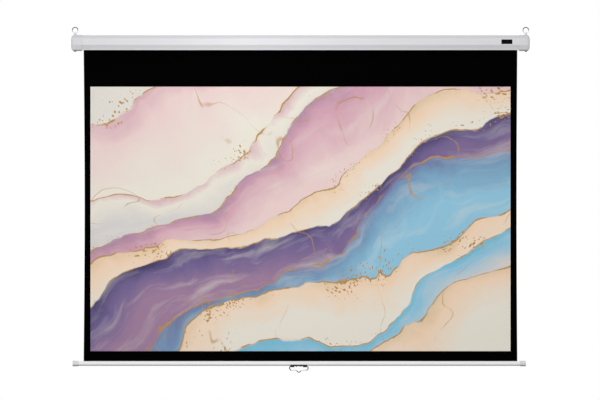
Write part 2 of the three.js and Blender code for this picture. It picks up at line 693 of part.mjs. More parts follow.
function pawlRivet() {
  const headFrom = PAWL_THICKNESS + SEAT_GAP;
  return turnedX(
    [
      [-RUN_GAP - RIVET_DEPTH, 0],
      [-RUN_GAP - RIVET_DEPTH, RIVET_RADIUS],
      [headFrom, RIVET_RADIUS],
      [headFrom, RIVET_HEAD_RADIUS],
      [headFrom + RIVET_HEAD, RIVET_HEAD_RADIUS],
      [headFrom + RIVET_HEAD, 0],
    ],
    SMALL_SIDES,
  );
}

// The counterbalance spring: one unbroken wire from the plug's spigot to the anchor's.
// Its turns are straight between their steps, so they stand off by what a step cuts inside.
const SPRING_RADIUS = (SPIGOT_RADIUS + SEAT_GAP + SPRING_WIRE_RADIUS) / Math.cos(Math.PI / SPRING_STEPS);
const SPRING_START = PLUG_INNER_FACE - SEAT_GAP - SPRING_WIRE_RADIUS;
class Helix extends THREE.Curve {
  getPoint(t, target = new THREE.Vector3()) {
    const angle = 2 * Math.PI * SPRING_TURNS * t;
    const x = SPRING_START - SPRING_LENGTH * t;
    return target.set(x, SPRING_RADIUS * Math.cos(angle), SPRING_RADIUS * Math.sin(angle));
  }
}
function torsionSpring() {
  const section = new THREE.Shape(circle(SPRING_WIRE_RADIUS, SPRING_SIDES));
  const steps = SPRING_TURNS * SPRING_STEPS;
  const path = new Helix();
  reportSelfGap('torsion_spring', path.getPoints(steps), SPRING_STEPS / 2, SPRING_WIRE_RADIUS);
  return new THREE.ExtrudeGeometry(section, { steps, extrudePath: path });
}

// Measures how near a wire comes to itself, leaving out neighbours along the wire.
function reportSelfGap(name, points, neighbours, wireRadius) {
  let least = Infinity;
  points.forEach((p, i) =>
    points.slice(i + neighbours).forEach((q) => {
      least = Math.min(least, p.distanceTo(q));
    }),
  );
  console.log(`${name}: least gap to itself ${(least - 2 * wireRadius).toFixed(2)} mm`);
}

const ANCHOR_FACE = SPRING_START - SPRING_LENGTH - SPRING_WIRE_RADIUS - SEAT_GAP;
function springAnchor() {
  const back = ANCHOR_FACE - ANCHOR_LENGTH;
  const spigotEnd = ANCHOR_FACE + SPIGOT_LENGTH;
  return turnedX(
    [
      [back, BORE_RADIUS],
      [back, ANCHOR_RADIUS],
      [ANCHOR_FACE, ANCHOR_RADIUS],
      [ANCHOR_FACE, SPIGOT_RADIUS],
      [spigotEnd, SPIGOT_RADIUS],
      [spigotEnd, BORE_RADIUS],
      [back, BORE_RADIUS],
    ],
    ROUND_SIDES,
  );
}

function idlerPin() {
  const headFrom = CASE_HALF + 2 * SEAT_GAP + BRACKET_SHEET;
  return turnedX(
    [
      [FLANGE_FACE - IDLER_PIN_INSIDE, 0],
      [FLANGE_FACE - IDLER_PIN_INSIDE, AXLE_RADIUS],
      [headFrom, AXLE_RADIUS],
      [headFrom, IDLER_HEAD_RADIUS],
      [headFrom + IDLER_HEAD, IDLER_HEAD_RADIUS],
      [headFrom + IDLER_HEAD, 0],
    ],
    ROUND_SIDES,
  );
}

// The hanging sheet, whose side edges draw in a little between case and bar.
const SHEET_BOTTOM = BAR_TOP - HEM_DROP + HEM_RADIUS + SEAT_GAP;
function fabricSheet() {
  const edge = Array.from({ length: WAIST_STEPS + 1 }, (_, k) => {
    const share = k / WAIST_STEPS;
    const waist = FABRIC_WAIST * Math.sin(Math.PI * share);
    return [FABRIC_WIDTH / 2 - waist, CASE_BOTTOM + (BAR_TOP - CASE_BOTTOM) * share];
  });
  const right = [[FABRIC_WIDTH / 2, AXIS_HEIGHT], ...edge, [FABRIC_WIDTH / 2, SHEET_BOTTOM]];
  const outline = [
    ...right.map(([x, z]) => new THREE.Vector2(x, z)),
    ...right.reverse().map(([x, z]) => new THREE.Vector2(-x, z)),
  ];
  return alongY(outline, FABRIC_FRONT, FABRIC_FRONT + FABRIC_THICKNESS);
}

// Weight bar, about the middle of its top.
const BAR_MIDDLE = -BAR_HEIGHT / 2;
function barOutline(growth) {
  const corners = rectangle(BAR_DEPTH + 2 * growth, BAR_HEIGHT + 2 * growth, 0, BAR_MIDDLE);
  return rounded(corners, BAR_CORNER + growth, true);
}

function weightBar() {
  const from = -BAR_HALF - OVERRUN;
  const to = BAR_HALF + OVERRUN;
  const pocket = alongX(circle(POCKET_RADIUS, SMALL_SIDES, 0, -HEM_DROP), from, to);
  const slot = alongX(rectangle(HEM_SLOT, HEM_DROP + OVERRUN, 0, (OVERRUN - HEM_DROP) / 2), from, to);
  const hollowTop = -HEM_DROP - POCKET_RADIUS - POCKET_WALL;
  const above = rectangle(BAR_DEPTH, BAR_HEIGHT, 0, hollowTop + BAR_HEIGHT / 2);
  const aboveHollow = alongX(above, from - OVERRUN, to + OVERRUN);
  const hollow = cut(alongX(barOutline(-BAR_WALL), from, to), aboveHollow);
  const bar = alongX(barOutline(0), -BAR_HALF, BAR_HALF);
  const screwHoles = handleScrewHoles(-OVERRUN, BAR_WALL + OVERRUN);
  const underHandle = screwHoles.map((hole) => hole.translate(HANDLE_SHIFT, 0, -BAR_HEIGHT));
  return cut(bar, pocket, slot, hollow, ...underHandle);
}

function handleScrewHoles(bottom, top) {
  const bore = HANDLE_SCREW_RADIUS + SEAT_GAP;
  return [-1, 1].map((side) =>
    rodZ(bore, bottom, top, SMALL_SIDES).translate(side * HANDLE_SCREW_OFFSET, 0, 0),
  );
}

// A cap over the end of the bar, X outwards from the end of the bar.
function barCap() {
  const wall = SEAT_GAP + BAR_CAP_WALL;
  const aboutMiddle = (share) =>
    barOutline(wall).map((p) => point(p.x * share, (p.y - BAR_MIDDLE) * share));
  const tip = BAR_CAP_END_SHARES.map((share, k) => ({
    x: (BAR_CAP_END * k) / (BAR_CAP_END_SHARES.length - 1),
    outline: aboutMiddle(share),
  }));
  const body = loft([{ x: -BAR_CAP_SLEEVE, outline: aboutMiddle(1) }, ...tip]).translate(0, 0, BAR_MIDDLE);
  const mouth = alongX(barOutline(SEAT_GAP), -BAR_CAP_SLEEVE - OVERRUN, SEAT_GAP);
  return cut(body, mouth);
}

// Handle bracket, about the middle of the bar's underside.
const LUG_BOTTOM = -PIVOT_DROP - BAIL_WIRE_RADIUS - SEAT_GAP - LUG_WALL;
const SADDLE_BOTTOM = -SEAT_GAP - SADDLE_WALL;
function handleBracket() {
  const half = SADDLE_WIDTH / 2;
  const raised = (outline) => outline.map((p) => point(p.x, p.y + BAR_HEIGHT));
  const saddle = alongX(raised(barOutline(SEAT_GAP + SADDLE_WALL)), -half, half);
  const room = alongX(raised(barOutline(SEAT_GAP)), -half - OVERRUN, half + OVERRUN);
  const above = 2 * BAR_HEIGHT;
  const top = alongX(
    rectangle(2 * BAR_DEPTH, above, 0, SADDLE_RISE + above / 2),
    -half - OVERRUN,
    half + OVERRUN,
  );
  const lugHeight = SADDLE_RISE / 2 - LUG_BOTTOM;
  const lugOutline = rectangle(LUG_DEPTH, lugHeight, 0, LUG_BOTTOM + lugHeight / 2);
  const lugs = [-half, half - LUG_WIDTH].map((from) => alongX(lugOutline, from, from + LUG_WIDTH));
  const body = cut(join(saddle, ...lugs), room, top);
  const bailHoles = [-1, 1].map((side) => {
    const outer = side * (half + OVERRUN);
    const inner = side * (half - BAIL_IN_LUG - SEAT_GAP) + BAIL_SHIFT;
    const bore = BAIL_WIRE_RADIUS + SEAT_GAP;
    const [from, to] = [Math.min(outer, inner), Math.max(outer, inner)];
    return rodX(bore, from, to, SMALL_SIDES).translate(0, 0, -PIVOT_DROP);
  });
  return cut(body, ...bailHoles, ...handleScrewHoles(LUG_BOTTOM, OVERRUN));
}

// The bail, about its pivot: a wire loop with a notch in the middle for a pull rod's hook.
function handleBail() {
  const lugFace = SADDLE_WIDTH / 2;
  const side = [
    point(lugFace - BAIL_IN_LUG, 0),
    point(lugFace + BAIL_SHOULDER, 0),
    point(BAIL_HALF_WIDTH, -BAIL_DROP * BAIL_WIDEST_SHARE),
    point(BAIL_HALF_WIDTH * BAIL_FOOT_SHARE, -BAIL_DROP),
    point(BAIL_NOTCH_HALF_WIDTH, -BAIL_DROP),
  ];
  const corners = [
    ...side.map((p) => point(-p.x, p.y)),
    point(0, -BAIL_NOTCH_DROP),
    ...side.reverse(),
  ];
  const [first, ...bent] = rounded(corners, BAIL_BEND + BAIL_WIRE_RADIUS, false);
  const last = bent.pop();
  const route = [first, point(-lugFace, 0), ...bent, point(lugFace, 0), last];
  const points = route.map((p) => new THREE.Vector3(p.x, 0, p.y));
  const path = new THREE.CatmullRomCurve3(points, false, 'centripetal');
  const section = new THREE.Shape(circle(BAIL_WIRE_RADIUS, BAIL_SIDES));
  return new THREE.ExtrudeGeometry(section, { steps: BAIL_STEPS, extrudePath: path });
}

const screen = new THREE.Group();

// Case and badge
const housing = groupAt(screen, 0, 0, AXIS_HEIGHT);
piece(housing, 'case_shell', caseShell(), WHITE_STEEL);
const badgeOutline = rectangle(BADGE_WIDTH, BADGE_HEIGHT);
const badge = alongY(badgeOutline, -BADGE_THICKNESS, 0);
const badgePlace = [CASE_HALF - BADGE_FROM_END, -HALF_DEPTH, BADGE_ABOVE_AXIS];
piece(housing, 'badge', badge, BLACK_PLASTIC, badgePlace);

// Both ends, each mirrored from the same pieces
for (const [name, side, hole] of [['left', -1, spearSlot()], ['right', 1, pinHole()]]) {
  const end = groupAt(screen, side * CASE_HALF, 0, AXIS_HEIGHT);
  end.scale.x = side;
  piece(end, `end_cap_${name}`, endCap(), WHITE_PLASTIC);
  piece(end, `end_bracket_${name}`, endBracket(hole), ZINC);
  const screwLength = HALF_HEIGHT + CHIN_HEIGHT - TONGUE_FACE + BRACKET_SHEET + CAP_SCREW_PAST;
  const capScrew = panScrew(CAP_SCREW_RADIUS, CAP_SCREW_HEAD_RADIUS, CAP_SCREW_HEAD, screwLength);
  const screwSeat = -HALF_HEIGHT - CHIN_HEIGHT - SEAT_GAP;
  piece(end, `cap_screw_${name}`, capScrew, DARK_ZINC, [EYE_OUT, 0, screwSeat]);
  const sleeveSeat = -HALF_HEIGHT - SEAT_GAP - CAP_WALL - SEAT_GAP;
  const sleeveThread = 2 * SEAT_GAP + CAP_WALL + CASE_SHEET + SLEEVE_SCREW_PAST;
  const sleeveScrew = panScrew(
    SLEEVE_SCREW_RADIUS,
    SLEEVE_SCREW_HEAD_RADIUS,
    SLEEVE_SCREW_HEAD,
    sleeveThread,
  );
  piece(end, `sleeve_screw_${name}`, sleeveScrew, DARK_ZINC, [-SLEEVE_SCREW_IN, 0, sleeveSeat]);
  const eye = groupAt(screen, side * (CASE_HALF + EYE_OUT), 0, 0);
  piece(eye, `hanging_eye_${name}`, hangingEye(), CHROME);
  piece(eye, `eye_washer_${name}`, eyeWasher(), ZINC);
  piece(eye, `eye_nut_${name}`, eyeNut(), ZINC);
}

// Roller: the spring motor is at its left end, the idler at its right
const roller = groupAt(screen, 0, 0, AXIS_HEIGHT);
const tube = ringX(TUBE_BORE, TUBE_RADIUS, -TUBE_HALF, TUBE_HALF, ROLLER_SIDES);
piece(roller, 'roller_tube', tube, ZINC);
const wraps = ringX(WRAP_INNER_RADIUS, WRAP_RADIUS, -FABRIC_WIDTH / 2, FABRIC_WIDTH / 2, ROLLER_SIDES);
piece(roller, 'fabric_wraps', wraps, BLACK_FABRIC);

const idlerEnd = groupAt(roller, 0, 0, 0);
piece(idlerEnd, 'idler_plug', rollerPlug(false), NYLON);
piece(idlerEnd, 'idler_pin', idlerPin(), ZINC);
const spacer = ringX(BORE_RADIUS, SPACER_RADIUS, FLANGE_FACE + RUN_GAP, CASE_HALF, ROUND_SIDES);
piece(idlerEnd, 'idler_spacer', spacer, NYLON);

const motorEnd = groupAt(roller, 0, 0, 0);
motorEnd.scale.x = -1;
const boredPlug = cut(
  rollerPlug(true),
  ...Object.values(PAWL_BEARINGS).map((bearing) =>
    rodX(
      RIVET_RADIUS + SEAT_GAP,
      FLANGE_FACE - RIVET_DEPTH - SEAT_GAP,
      FLANGE_FACE + OVERRUN,
      SMALL_SIDES,
    ).translate(0, PAWL_PIVOT_RADIUS * Math.cos(bearing), PAWL_PIVOT_RADIUS * Math.sin(bearing)),
  ),
);
piece(motorEnd, 'spring_plug', boredPlug, NYLON);
piece(motorEnd, 'torsion_spring', torsionSpring(), SPRING_STEEL);
piece(motorEnd, 'spring_anchor', springAnchor(), BLACK_PLASTIC);
const shaftEnd = FLANGE_FACE + RUN_GAP + SOCKET_DEPTH - SEAT_GAP;
const shaft = rodX(AXLE_RADIUS, ANCHOR_FACE - ANCHOR_LENGTH, shaftEnd, ROUND_SIDES);
piece(motorEnd, 'spring_shaft', shaft, ZINC);
piece(motorEnd, 'ratchet_hub', ratchetHub(), ZINC);
for (const [name, bearing] of Object.entries(PAWL_BEARINGS)) {
  const y = PAWL_PIVOT_RADIUS * Math.cos(bearing);
  const z = PAWL_PIVOT_RADIUS * Math.sin(bearing);
  const pivot = groupAt(motorEnd, FLANGE_FACE + RUN_GAP, y, z);
  pivot.rotation.x = bearing - Math.PI / 2 - LIFTED_LEAN;
  piece(pivot, `pawl_${name}`, pawl(), DARK_ZINC);
  piece(pivot, `pawl_rivet_${name}`, pawlRivet(), ZINC);
}

// Fabric
piece(screen, 'screen_fabric', fabricSheet(), BLACK_FABRIC);
const viewOutline = rectangle(VIEW_WIDTH, VIEW_HEIGHT, 0, (VIEW_TOP + VIEW_BOTTOM) / 2);
const coat = alongY(viewOutline, FABRIC_FRONT - COAT_THICKNESS, FABRIC_FRONT);
piece(screen, 'viewing_surface', coat, SCREEN_WHITE);

// Weight bar with its hem and caps
const bar = groupAt(screen, BAR_SHIFT, FABRIC_MIDDLE, BAR_TOP);
piece(bar, 'weight_bar', weightBar(), WHITE_STEEL);
const hemPlace = [-BAR_SHIFT, 0, -HEM_DROP];
const hemHalf = FABRIC_WIDTH / 2;
piece(bar, 'hem_rod', rodX(HEM_ROD_RADIUS, -hemHalf, hemHalf, SMALL_SIDES), NYLON, hemPlace);
const hem = ringX(HEM_INNER_RADIUS, HEM_RADIUS, -hemHalf, hemHalf, SMALL_SIDES);
piece(bar, 'fabric_hem', hem, BLACK_FABRIC, hemPlace);
for (const [name, side] of [['left', -1], ['right', 1]]) {
  const end = groupAt(bar, side * BAR_HALF, 0, 0);
  end.scale.x = side;
  piece(end, `bar_cap_${name}`, barCap(), WHITE_PLASTIC);
}

// Handle under the bar
const handle = groupAt(bar, HANDLE_SHIFT, 0, -BAR_HEIGHT);
piece(handle, 'handle_bracket', handleBracket(), BLACK_PLASTIC);
piece(handle, 'handle_bail', handleBail(), CHROME, [BAIL_SHIFT, 0, -PIVOT_DROP]);
for (const [name, side] of [['left', -1], ['right', 1]]) {
  const screw = panScrew(
    HANDLE_SCREW_RADIUS,
    HANDLE_SCREW_HEAD_RADIUS,
    HANDLE_SCREW_HEAD,
    HANDLE_SCREW_LENGTH,
  );
  const seat = SADDLE_BOTTOM - SEAT_GAP;
  piece(handle, `handle_screw_${name}`, screw, DARK_ZINC, [side * HANDLE_SCREW_OFFSET, 0, seat]);
}

export default screen;
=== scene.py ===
"""Looks of a pull-down projection screen, in metres, in the frame of its CAD pieces."""

from math import asin, atan2, cos, pi, radians, sin, tan

import bmesh
import bpy
from mathutils import Matrix, Vector


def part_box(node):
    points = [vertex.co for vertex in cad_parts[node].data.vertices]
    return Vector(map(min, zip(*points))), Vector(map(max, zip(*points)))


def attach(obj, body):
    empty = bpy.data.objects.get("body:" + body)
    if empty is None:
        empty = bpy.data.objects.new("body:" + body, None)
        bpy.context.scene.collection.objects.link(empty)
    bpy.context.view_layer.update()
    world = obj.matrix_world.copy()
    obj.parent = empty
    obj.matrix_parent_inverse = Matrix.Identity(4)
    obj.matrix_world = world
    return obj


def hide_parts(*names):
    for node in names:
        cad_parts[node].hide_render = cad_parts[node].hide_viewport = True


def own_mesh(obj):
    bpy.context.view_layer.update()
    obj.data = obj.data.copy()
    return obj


scene = bpy.context.scene
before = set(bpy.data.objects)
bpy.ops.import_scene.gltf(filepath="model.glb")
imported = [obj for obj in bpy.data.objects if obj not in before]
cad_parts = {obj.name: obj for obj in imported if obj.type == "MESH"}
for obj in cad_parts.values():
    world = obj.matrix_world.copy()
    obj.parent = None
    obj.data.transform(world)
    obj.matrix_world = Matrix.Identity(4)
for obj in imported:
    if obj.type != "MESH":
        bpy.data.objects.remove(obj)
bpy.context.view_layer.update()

# Clearances
SEAT_GAP = 0.0003
OVERRUN = 0.001

# Case
case_low, case_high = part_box("case_shell")
CASE_HALF = case_high.x
HALF_DEPTH = (case_high.y - case_low.y) / 2
HALF_HEIGHT = (case_high.z - case_low.z) / 2
AXIS_HEIGHT = (case_high.z + case_low.z) / 2
CASE_BOTTOM = case_low.z
CASE_SHEET = 0.001
CASE_BEND = 0.003
TOP_CHAMFER_RISE = 0.0165
TOP_CHAMFER_RUN = 0.020
LOW_CHAMFER_RISE = 0.021
LOW_CHAMFER_RUN = 0.018
LIP_HEIGHT = 0.0056
REAR_CHAMFER = 0.010
SLOT_WIDTH = 0.020
SLOT_HEM = 0.006

# End caps
CAP_WALL = 0.0016
CAP_FLOOR = 0.004
CAP_SLEEVE = 0.0115
CAP_END_WALL = 0.0024
CAP_EASE = 0.0008
DOME_LENGTH = 0.020
DOME_POWER = 2.8
DOME_SIDE_DROP = 0.020
DOME_END_DROP = 0.028
BOSS_HEIGHT = 0.0077
BOSS_RADIUS = 0.007
BOSS_FLARE = 0.0045
BOSS_ROOT = 0.0031
CHIN_HEIGHT = 0.0055
CHIN_RADIUS = 0.008
CHIN_FLARE = 0.0035
CHIN_ROOT = 0.0034
FLARE_POWER = 1.65
PAD_RADIUS = 0.0072
TONGUE_DROP = 0.004
TONGUE = HALF_HEIGHT - TONGUE_DROP

# Hanging eyes
eye_low, eye_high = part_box("hanging_eye_right")
EYE_X = (eye_low.x + eye_high.x) / 2
EYE_END = eye_low.z
EYE_WIRE = 0.0022
EYE_BORE = 0.0124
EYE_NECK = 0.0012
NECK_RADIUS = 0.0046
NECK_TAPER = 0.82
EYE_FILLET = ((0.6, 1.15), (1, 0.9))
EYE_SHANK = 0.003
EYE_THREAD = 0.0004
EYE_PITCH = 0.001
EYE_BOTTOM = -2 * (EYE_BORE + EYE_WIRE)
# Painted reflection: the heights over which the ring's top turns dark
EYE_PAINTED_REFLECTION = (-0.0115, -0.007)

# Screws, their recess and shank in shares of the head's radius or height
CAP_SCREW = {"Head radius": 0.007, "Head height": 0.0032, "Shank radius": 0.0019}
SLEEVE_SCREW = {"Head radius": 0.0034, "Head height": 0.0016, "Shank radius": 0.0016}
HANDLE_SCREW = {"Head radius": 0.0034, "Head height": 0.003, "Shank radius": 0.0016}
SCREW_IN = 0.006
RECESS_SPAN = 1.1
RECESS_SLOT = 0.24
RECESS_TALL = 1.3
RECESS_DROP = -1.05
SHANK_SUNK = 0.2
HEAD_FACETS = {"Segments": 32, "Rings": 16}

# Fabric
sheet_low, sheet_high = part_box("screen_fabric")
coat_low, coat_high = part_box("viewing_surface")
FABRIC_THICKNESS = sheet_high.y - sheet_low.y
FABRIC_HALF = sheet_high.x
FABRIC_WIDTH = 2 * FABRIC_HALF
LEFT_WAIST = 0.0052
RIGHT_WAIST = 0.0038
WRAP_TURNS = 2
WRAP_INNER = 0.0233
COAT_GAP = 0.00002
WAVE_DEPTH = 0.0011
EDGE_CURL = 0.0012
CURL_WIDTH = 0.12
LONG_WAVE = (5.1, 0.6)
SHORT_WAVE = (11.3, 2.1)
SHORT_SHARE = 0.5
WAVE_LEAN = 0.8

# Weight bar
bar_low, bar_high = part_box("weight_bar")
BAR_CORNER = 0.0085
BAR_WALL = 0.0014
HEM_DROP = 0.007
HEM_SLOT = 0.0018
POCKET_WALL = 0.0016
BAR_CAP_WALL = 0.002
BAR_CAP_SLEEVE = 0.027
BAR_CAP_END = 0.003
BAR_CAP_EASE = 0.0022

# Handle
bracket_low, bracket_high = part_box("handle_bracket")
HANDLE_X = (bracket_low.x + bracket_high.x) / 2
bail_low, bail_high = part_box("handle_bail")
BAIL_X = (bail_low.x + bail_high.x) / 2
SADDLE_WIDTH = 0.085
SADDLE_WALL = 0.002
SADDLE_RISE = 0.0055
LUG_WIDTH = 0.0205
LUG_DEPTH = 0.015
LUG_WALL = 0.0009
LUG_CORNER = 0.003
PIVOT_DROP = 0.0036
BAIL_WIRE = 0.0022
BAIL_IN_LUG = 0.013
BAIL_SHOULDER = 0.004
BAIL_BEND = 0.0045
BAIL_HALF = 0.0485
BAIL_DROP = 0.0196
NOTCH_DROP = 0.0302
NOTCH_HALF = 0.016
FOOT_SHARE = 0.84
# Painted reflection: how far from the middle the bail's notch and outer sides turn dark
BAIL_PAINTED_REFLECTION_SIDES = (0.038, 0.043)
BAIL_PAINTED_REFLECTION_NOTCH = (0.015, 0.010)
SCREW_OFFSET = 0.0113
HANDLE_EASE = 0.0004

# Badge
badge_low, badge_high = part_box("badge")
BADGE_CORNER = 0.0022
BADGE_EASE = 0.0004
BADGE_RIM = 0.0012
BADGE_SUNK = 0.00015
BADGE_FACETS = 6

# Spring
SPRING_WIRE = 0.0011
SPRING_TURNS = 20.0

# Finishes
# Painted shade: the ragged edge of the darkening painted under the caps and the bar
PAINTED_SHADE_RAGGED = 0.0015
# Painted reflection: the ragged edge of the dark bands painted on the bail and the rings
PAINTED_REFLECTION_RAGGED = 0.002
# Painted shade: how high the darkening painted under the caps and the bar reaches
CAP_PAINTED_SHADE_RISE = 0.006
BAR_PAINTED_SHADE_RISE = 0.0103
CAP_PAINTED_SHADE = (CASE_BOTTOM + CAP_PAINTED_SHADE_RISE, CASE_BOTTOM - CAP_FLOOR)
BAR_PAINTED_SHADE = (bar_low.z + BAR_PAINTED_SHADE_RISE, bar_low.z)

# Facets
BEND_FACETS = 8
DOME_STEPS = 16
ROUND_SIDES = 48
SMALL_SIDES = 24
FLARE_STEPS = 10
COIL_FACETS = 32
COIL_SIDES = 12
BEND_SHARE = 0.45
WELD = 0.00001
EASE_ANGLE = radians(40)
CREASE = radians(24)


def linear(colour):
    """Linear light. A colour of three levels is as a screen shows it, from 0 to 255."""
    if len(colour) > 3:
        return colour
    shares = [level / 255 for level in colour]
    return (*(s / 12.92 if s <= 0.04045 else ((s + 0.055) / 1.055) ** 2.4 for s in shares), 1)


def grey(level):
    return (level, level, level, 1)


def placed(name, data):
    made = bpy.data.objects.new(name, data)
    scene.collection.objects.link(made)
    return made


class Nodes:
    """A node tree, built a node at a time."""

    def __init__(self, tree):
        self.tree = tree

    def feed(self, socket, value):
        if isinstance(value, bpy.types.NodeSocket):
            self.tree.links.new(value, socket)
        elif value is not None:
            socket.default_value = linear(value) if socket.type == "RGBA" else value

    def add(self, kind, *values, **settings):
        made = self.tree.nodes.new(kind)
        for key, value in settings.items():
            setattr(made, key, value)
        for socket, value in zip(made.inputs, values):
            self.feed(socket, value)
        return made

    def shade(self, kind, *values, **settings):
        return self.add(f"ShaderNode{kind}", *values, **settings).outputs

    def maths(self, operation, *values):
        return self.shade("Math", *values, operation=operation)[0]

    def vectors(self, operation, *values):
        return self.shade("VectorMath", *values, operation=operation)

    def times(self, first, second):
        return self.maths("MULTIPLY", first, second)

    def most(self, first, second):
        return self.maths("MAXIMUM", first, second)

    def within(self, value, low, high, to_low=0, to_high=1):
        return self.shade("MapRange", value, low, high, to_low, to_high)["Result"]

    def looked_at(self):
        """1 for rays from the camera, also by gloss or glass, else 0."""
        rays = self.shade("LightPath")
        bounced = self.most(rays["Is Glossy Ray"], rays["Is Transmission Ray"])
        return self.most(rays["Is Camera Ray"], bounced)


class Finish(Nodes):
    def __init__(self, name, roughness=0.5, metallic=0, specular=0.5, flat=False):
        self.material = bpy.data.materials.new(name)
        self.material.use_nodes = True
        super().__init__(self.material.node_tree)
        self.give("Roughness", roughness)
        self.give("Metallic", metallic)
        self.give("Specular IOR Level", specular)
        solid = self.shade("TexCoord")["Object"]
        self.place = self.shade("UVMap", uv_map="Flat")[0] if flat else solid

    def give(self, name, value):
        self.feed(self.tree.nodes["Principled BSDF"].inputs[name], value)

    def along(self, axis, place=None):
        """How far along an axis a place lies, 0 for X to 2 for Z."""
        return self.shade("SeparateXYZ", place or self.place)[axis]

    def stretched(self, scale, turn=None):
        return self.shade("Mapping", self.place, None, turn, scale)[0]

    def noise(self, scale, detail=2, roughness=0.5, place=None, output=0):
        return self.shade("TexNoise", place or self.place, None, scale, detail, roughness)[output]

    def drifted(self, place, scale, detail, amount):
        """A place moved about by a noise, for swirls."""
        cloud = self.noise(scale, detail, 0.5, place, "Color")
        centred = self.vectors("SUBTRACT", cloud, (0.5,) * 3)[0]
        return self.vectors("MULTIPLY_ADD", centred, (amount,) * 3, place)[0]

    def mixed(self, share, first, second):
        others = (None,) * 5
        return self.shade("Mix", share, *others, first, second, data_type="RGBA")[2]

    def ramp(self, share, places, colours):
        made = self.add("ShaderNodeValToRGB", share)
        marks = made.color_ramp.elements
        while len(marks) < len(places):
            marks.new(0.5)
        for mark, place, colour in zip(marks, places, colours):
            mark.position = place
            mark.color = linear(colour)
        return made.outputs[0]

    def finished(self, colour, marks, gloss, relief, depth, strength, ends=(0.3, 0.7)):
        """The material, with a gloss that follows marks and a relief in metres."""
        self.give("Base Color", colour)
        self.give("Roughness", self.within(marks, *ends, *gloss))
        self.give("Normal", self.shade("Bump", strength, depth, None, relief)[0])
        return self.material


def powder_coat():
    """Powder paint with fine orange peel and faint smudges."""
    made = Finish("case_powder_coat", specular=0.35)
    tone = made.mixed(made.noise(6, 3), (224, 224, 227), (220, 220, 224))
    return made.finished(tone, made.noise(22, 4, 0.6), (0.4, 0.52), made.noise(700), 0.00006, 0.5)


def moulded(name, pale, shade, gloss=(0.38, 0.5), specular=0.4, grain=1500, painted_shade=None, reach=()):
    """Plastic with a spark-eroded grain, handling marks and, on a cap, painted shade darkening its
    foot.
    """
    made = Finish(name, specular=specular)
    cloud = made.noise(40, 3)
    tone = made.mixed(cloud, pale, shade)
    # Painted shade: below a ragged height the colour turns darker, standing in for the shade under the
    # foot
    if painted_shade:
        ragged = made.maths("MULTIPLY_ADD", cloud, PAINTED_SHADE_RAGGED, made.along(2))
        tone = made.mixed(made.within(ragged, *reach), tone, painted_shade)
    relief = made.noise(grain, 3, 0.6)
    return made.finished(tone, made.noise(60, 4, 0.6), gloss, relief, 0.00005, 0.4)


def bar_enamel():
    """Satin paint with lengthwise die lines, and painted shade darkening its foot."""
    made = Finish("bar_paint", specular=0.4)
    lines = made.noise(1, 3, 0.6, made.stretched((3, 1400, 1400)))
    unshaded = made.mixed(made.noise(9, 3), (250, 250, 250), (246, 246, 247))
    # Painted shade: the paint turns greyer towards the bar's foot, standing in for shade under it
    tone = made.mixed(made.within(made.along(2), *BAR_PAINTED_SHADE), unshaded, (172, 172, 174))
    return made.finished(tone, lines, (0.3, 0.42), lines, 0.00003, 0.35)


def bright_metal(name, colour, dull, gloss):
    """Steel with hairline scratches and dull patches."""
    made = Finish(name, metallic=1)
    tone = made.mixed(made.noise(120, 4, 0.6), colour, dull)
    hair = made.noise(1, 4, 0.7, made.stretched((900, 100, 900)))
    return made.finished(tone, hair, gloss, hair, 0.00001, 0.3)


def chrome_with_painted_reflection():
    """Chrome with dark reflections painted at the bail's outer bends and notch."""
    made = Finish("bail_chrome", metallic=1)
    patch = made.noise(160, 4, 0.6)
    off_middle = made.maths("ABSOLUTE", made.maths("SUBTRACT", made.along(0), BAIL_X))
    ragged = made.maths("MULTIPLY_ADD", patch, PAINTED_REFLECTION_RAGGED, off_middle)
    tone = made.mixed(patch, (226, 227, 229), (204, 205, 208))
    # Painted reflection: the notch and the outer sides are coloured dark, as dark surroundings show in
    # chrome
    tone = made.mixed(made.within(ragged, *BAIL_PAINTED_REFLECTION_NOTCH), tone, (52, 52, 55))
    tone = made.mixed(made.within(ragged, *BAIL_PAINTED_REFLECTION_SIDES), tone, (24, 24, 26))
    return made.finished(tone, patch, (0.04, 0.12), made.noise(900, 3), 0.00001, 0.3)


def plate_with_painted_reflection():
    """Plating with a dark reflection painted over the top of a ring."""
    made = Finish("ring_plate", metallic=0.5)
    patch = made.noise(160, 4, 0.6)
    ragged = made.maths("MULTIPLY_ADD", patch, PAINTED_REFLECTION_RAGGED, made.along(2))
    plate = made.mixed(patch, (238, 239, 241), (224, 225, 228))
    # Painted reflection: above a ragged height the ring is coloured dark, as a dark reflection there
    tone = made.mixed(made.within(ragged, *EYE_PAINTED_REFLECTION), plate, (36, 36, 38))
    return made.finished(tone, patch, (0.2, 0.34), made.noise(900, 3), 0.00002, 0.4)


def zinc_plate():
    """Zinc in soft spangles, each with its own sheen."""
    made = Finish("zinc_steel", metallic=1)
    spangle = made.shade("TexVoronoi", made.place, None, 160)["Color"]
    sheen = made.shade("SeparateColor", spangle)[0]
    tone = made.mixed(sheen, (176, 178, 180), (142, 144, 148))
    return made.finished(tone, sheen, (0.3, 0.46), made.noise(600, 3), 0.00003, 0.3, (0, 1))


def turned_nylon():
    """Waxy natural nylon with flow marks."""
    made = Finish("nylon", specular=0.45)
    made.give("Subsurface Weight", 0.1)
    made.give("Subsurface Scale", 0.002)
    flow = made.noise(45, 4, 0.5, made.stretched((1, 4, 4)))
    tone = made.mixed(flow, (226, 221, 206), (214, 208, 192))
    return made.finished(tone, flow, (0.35, 0.5), made.noise(900), 0.00003, 0.3)


def woven(made, width, length, thread):
    """The relief of a plain weave, in threads of their true width."""
    cloth = made.stretched((width, length, 1))
    turns = pi / thread
    warp, weft = (made.maths("SINE", made.times(made.along(axis, cloth), turns)) for axis in (0, 1))
    return made.times(warp, weft)


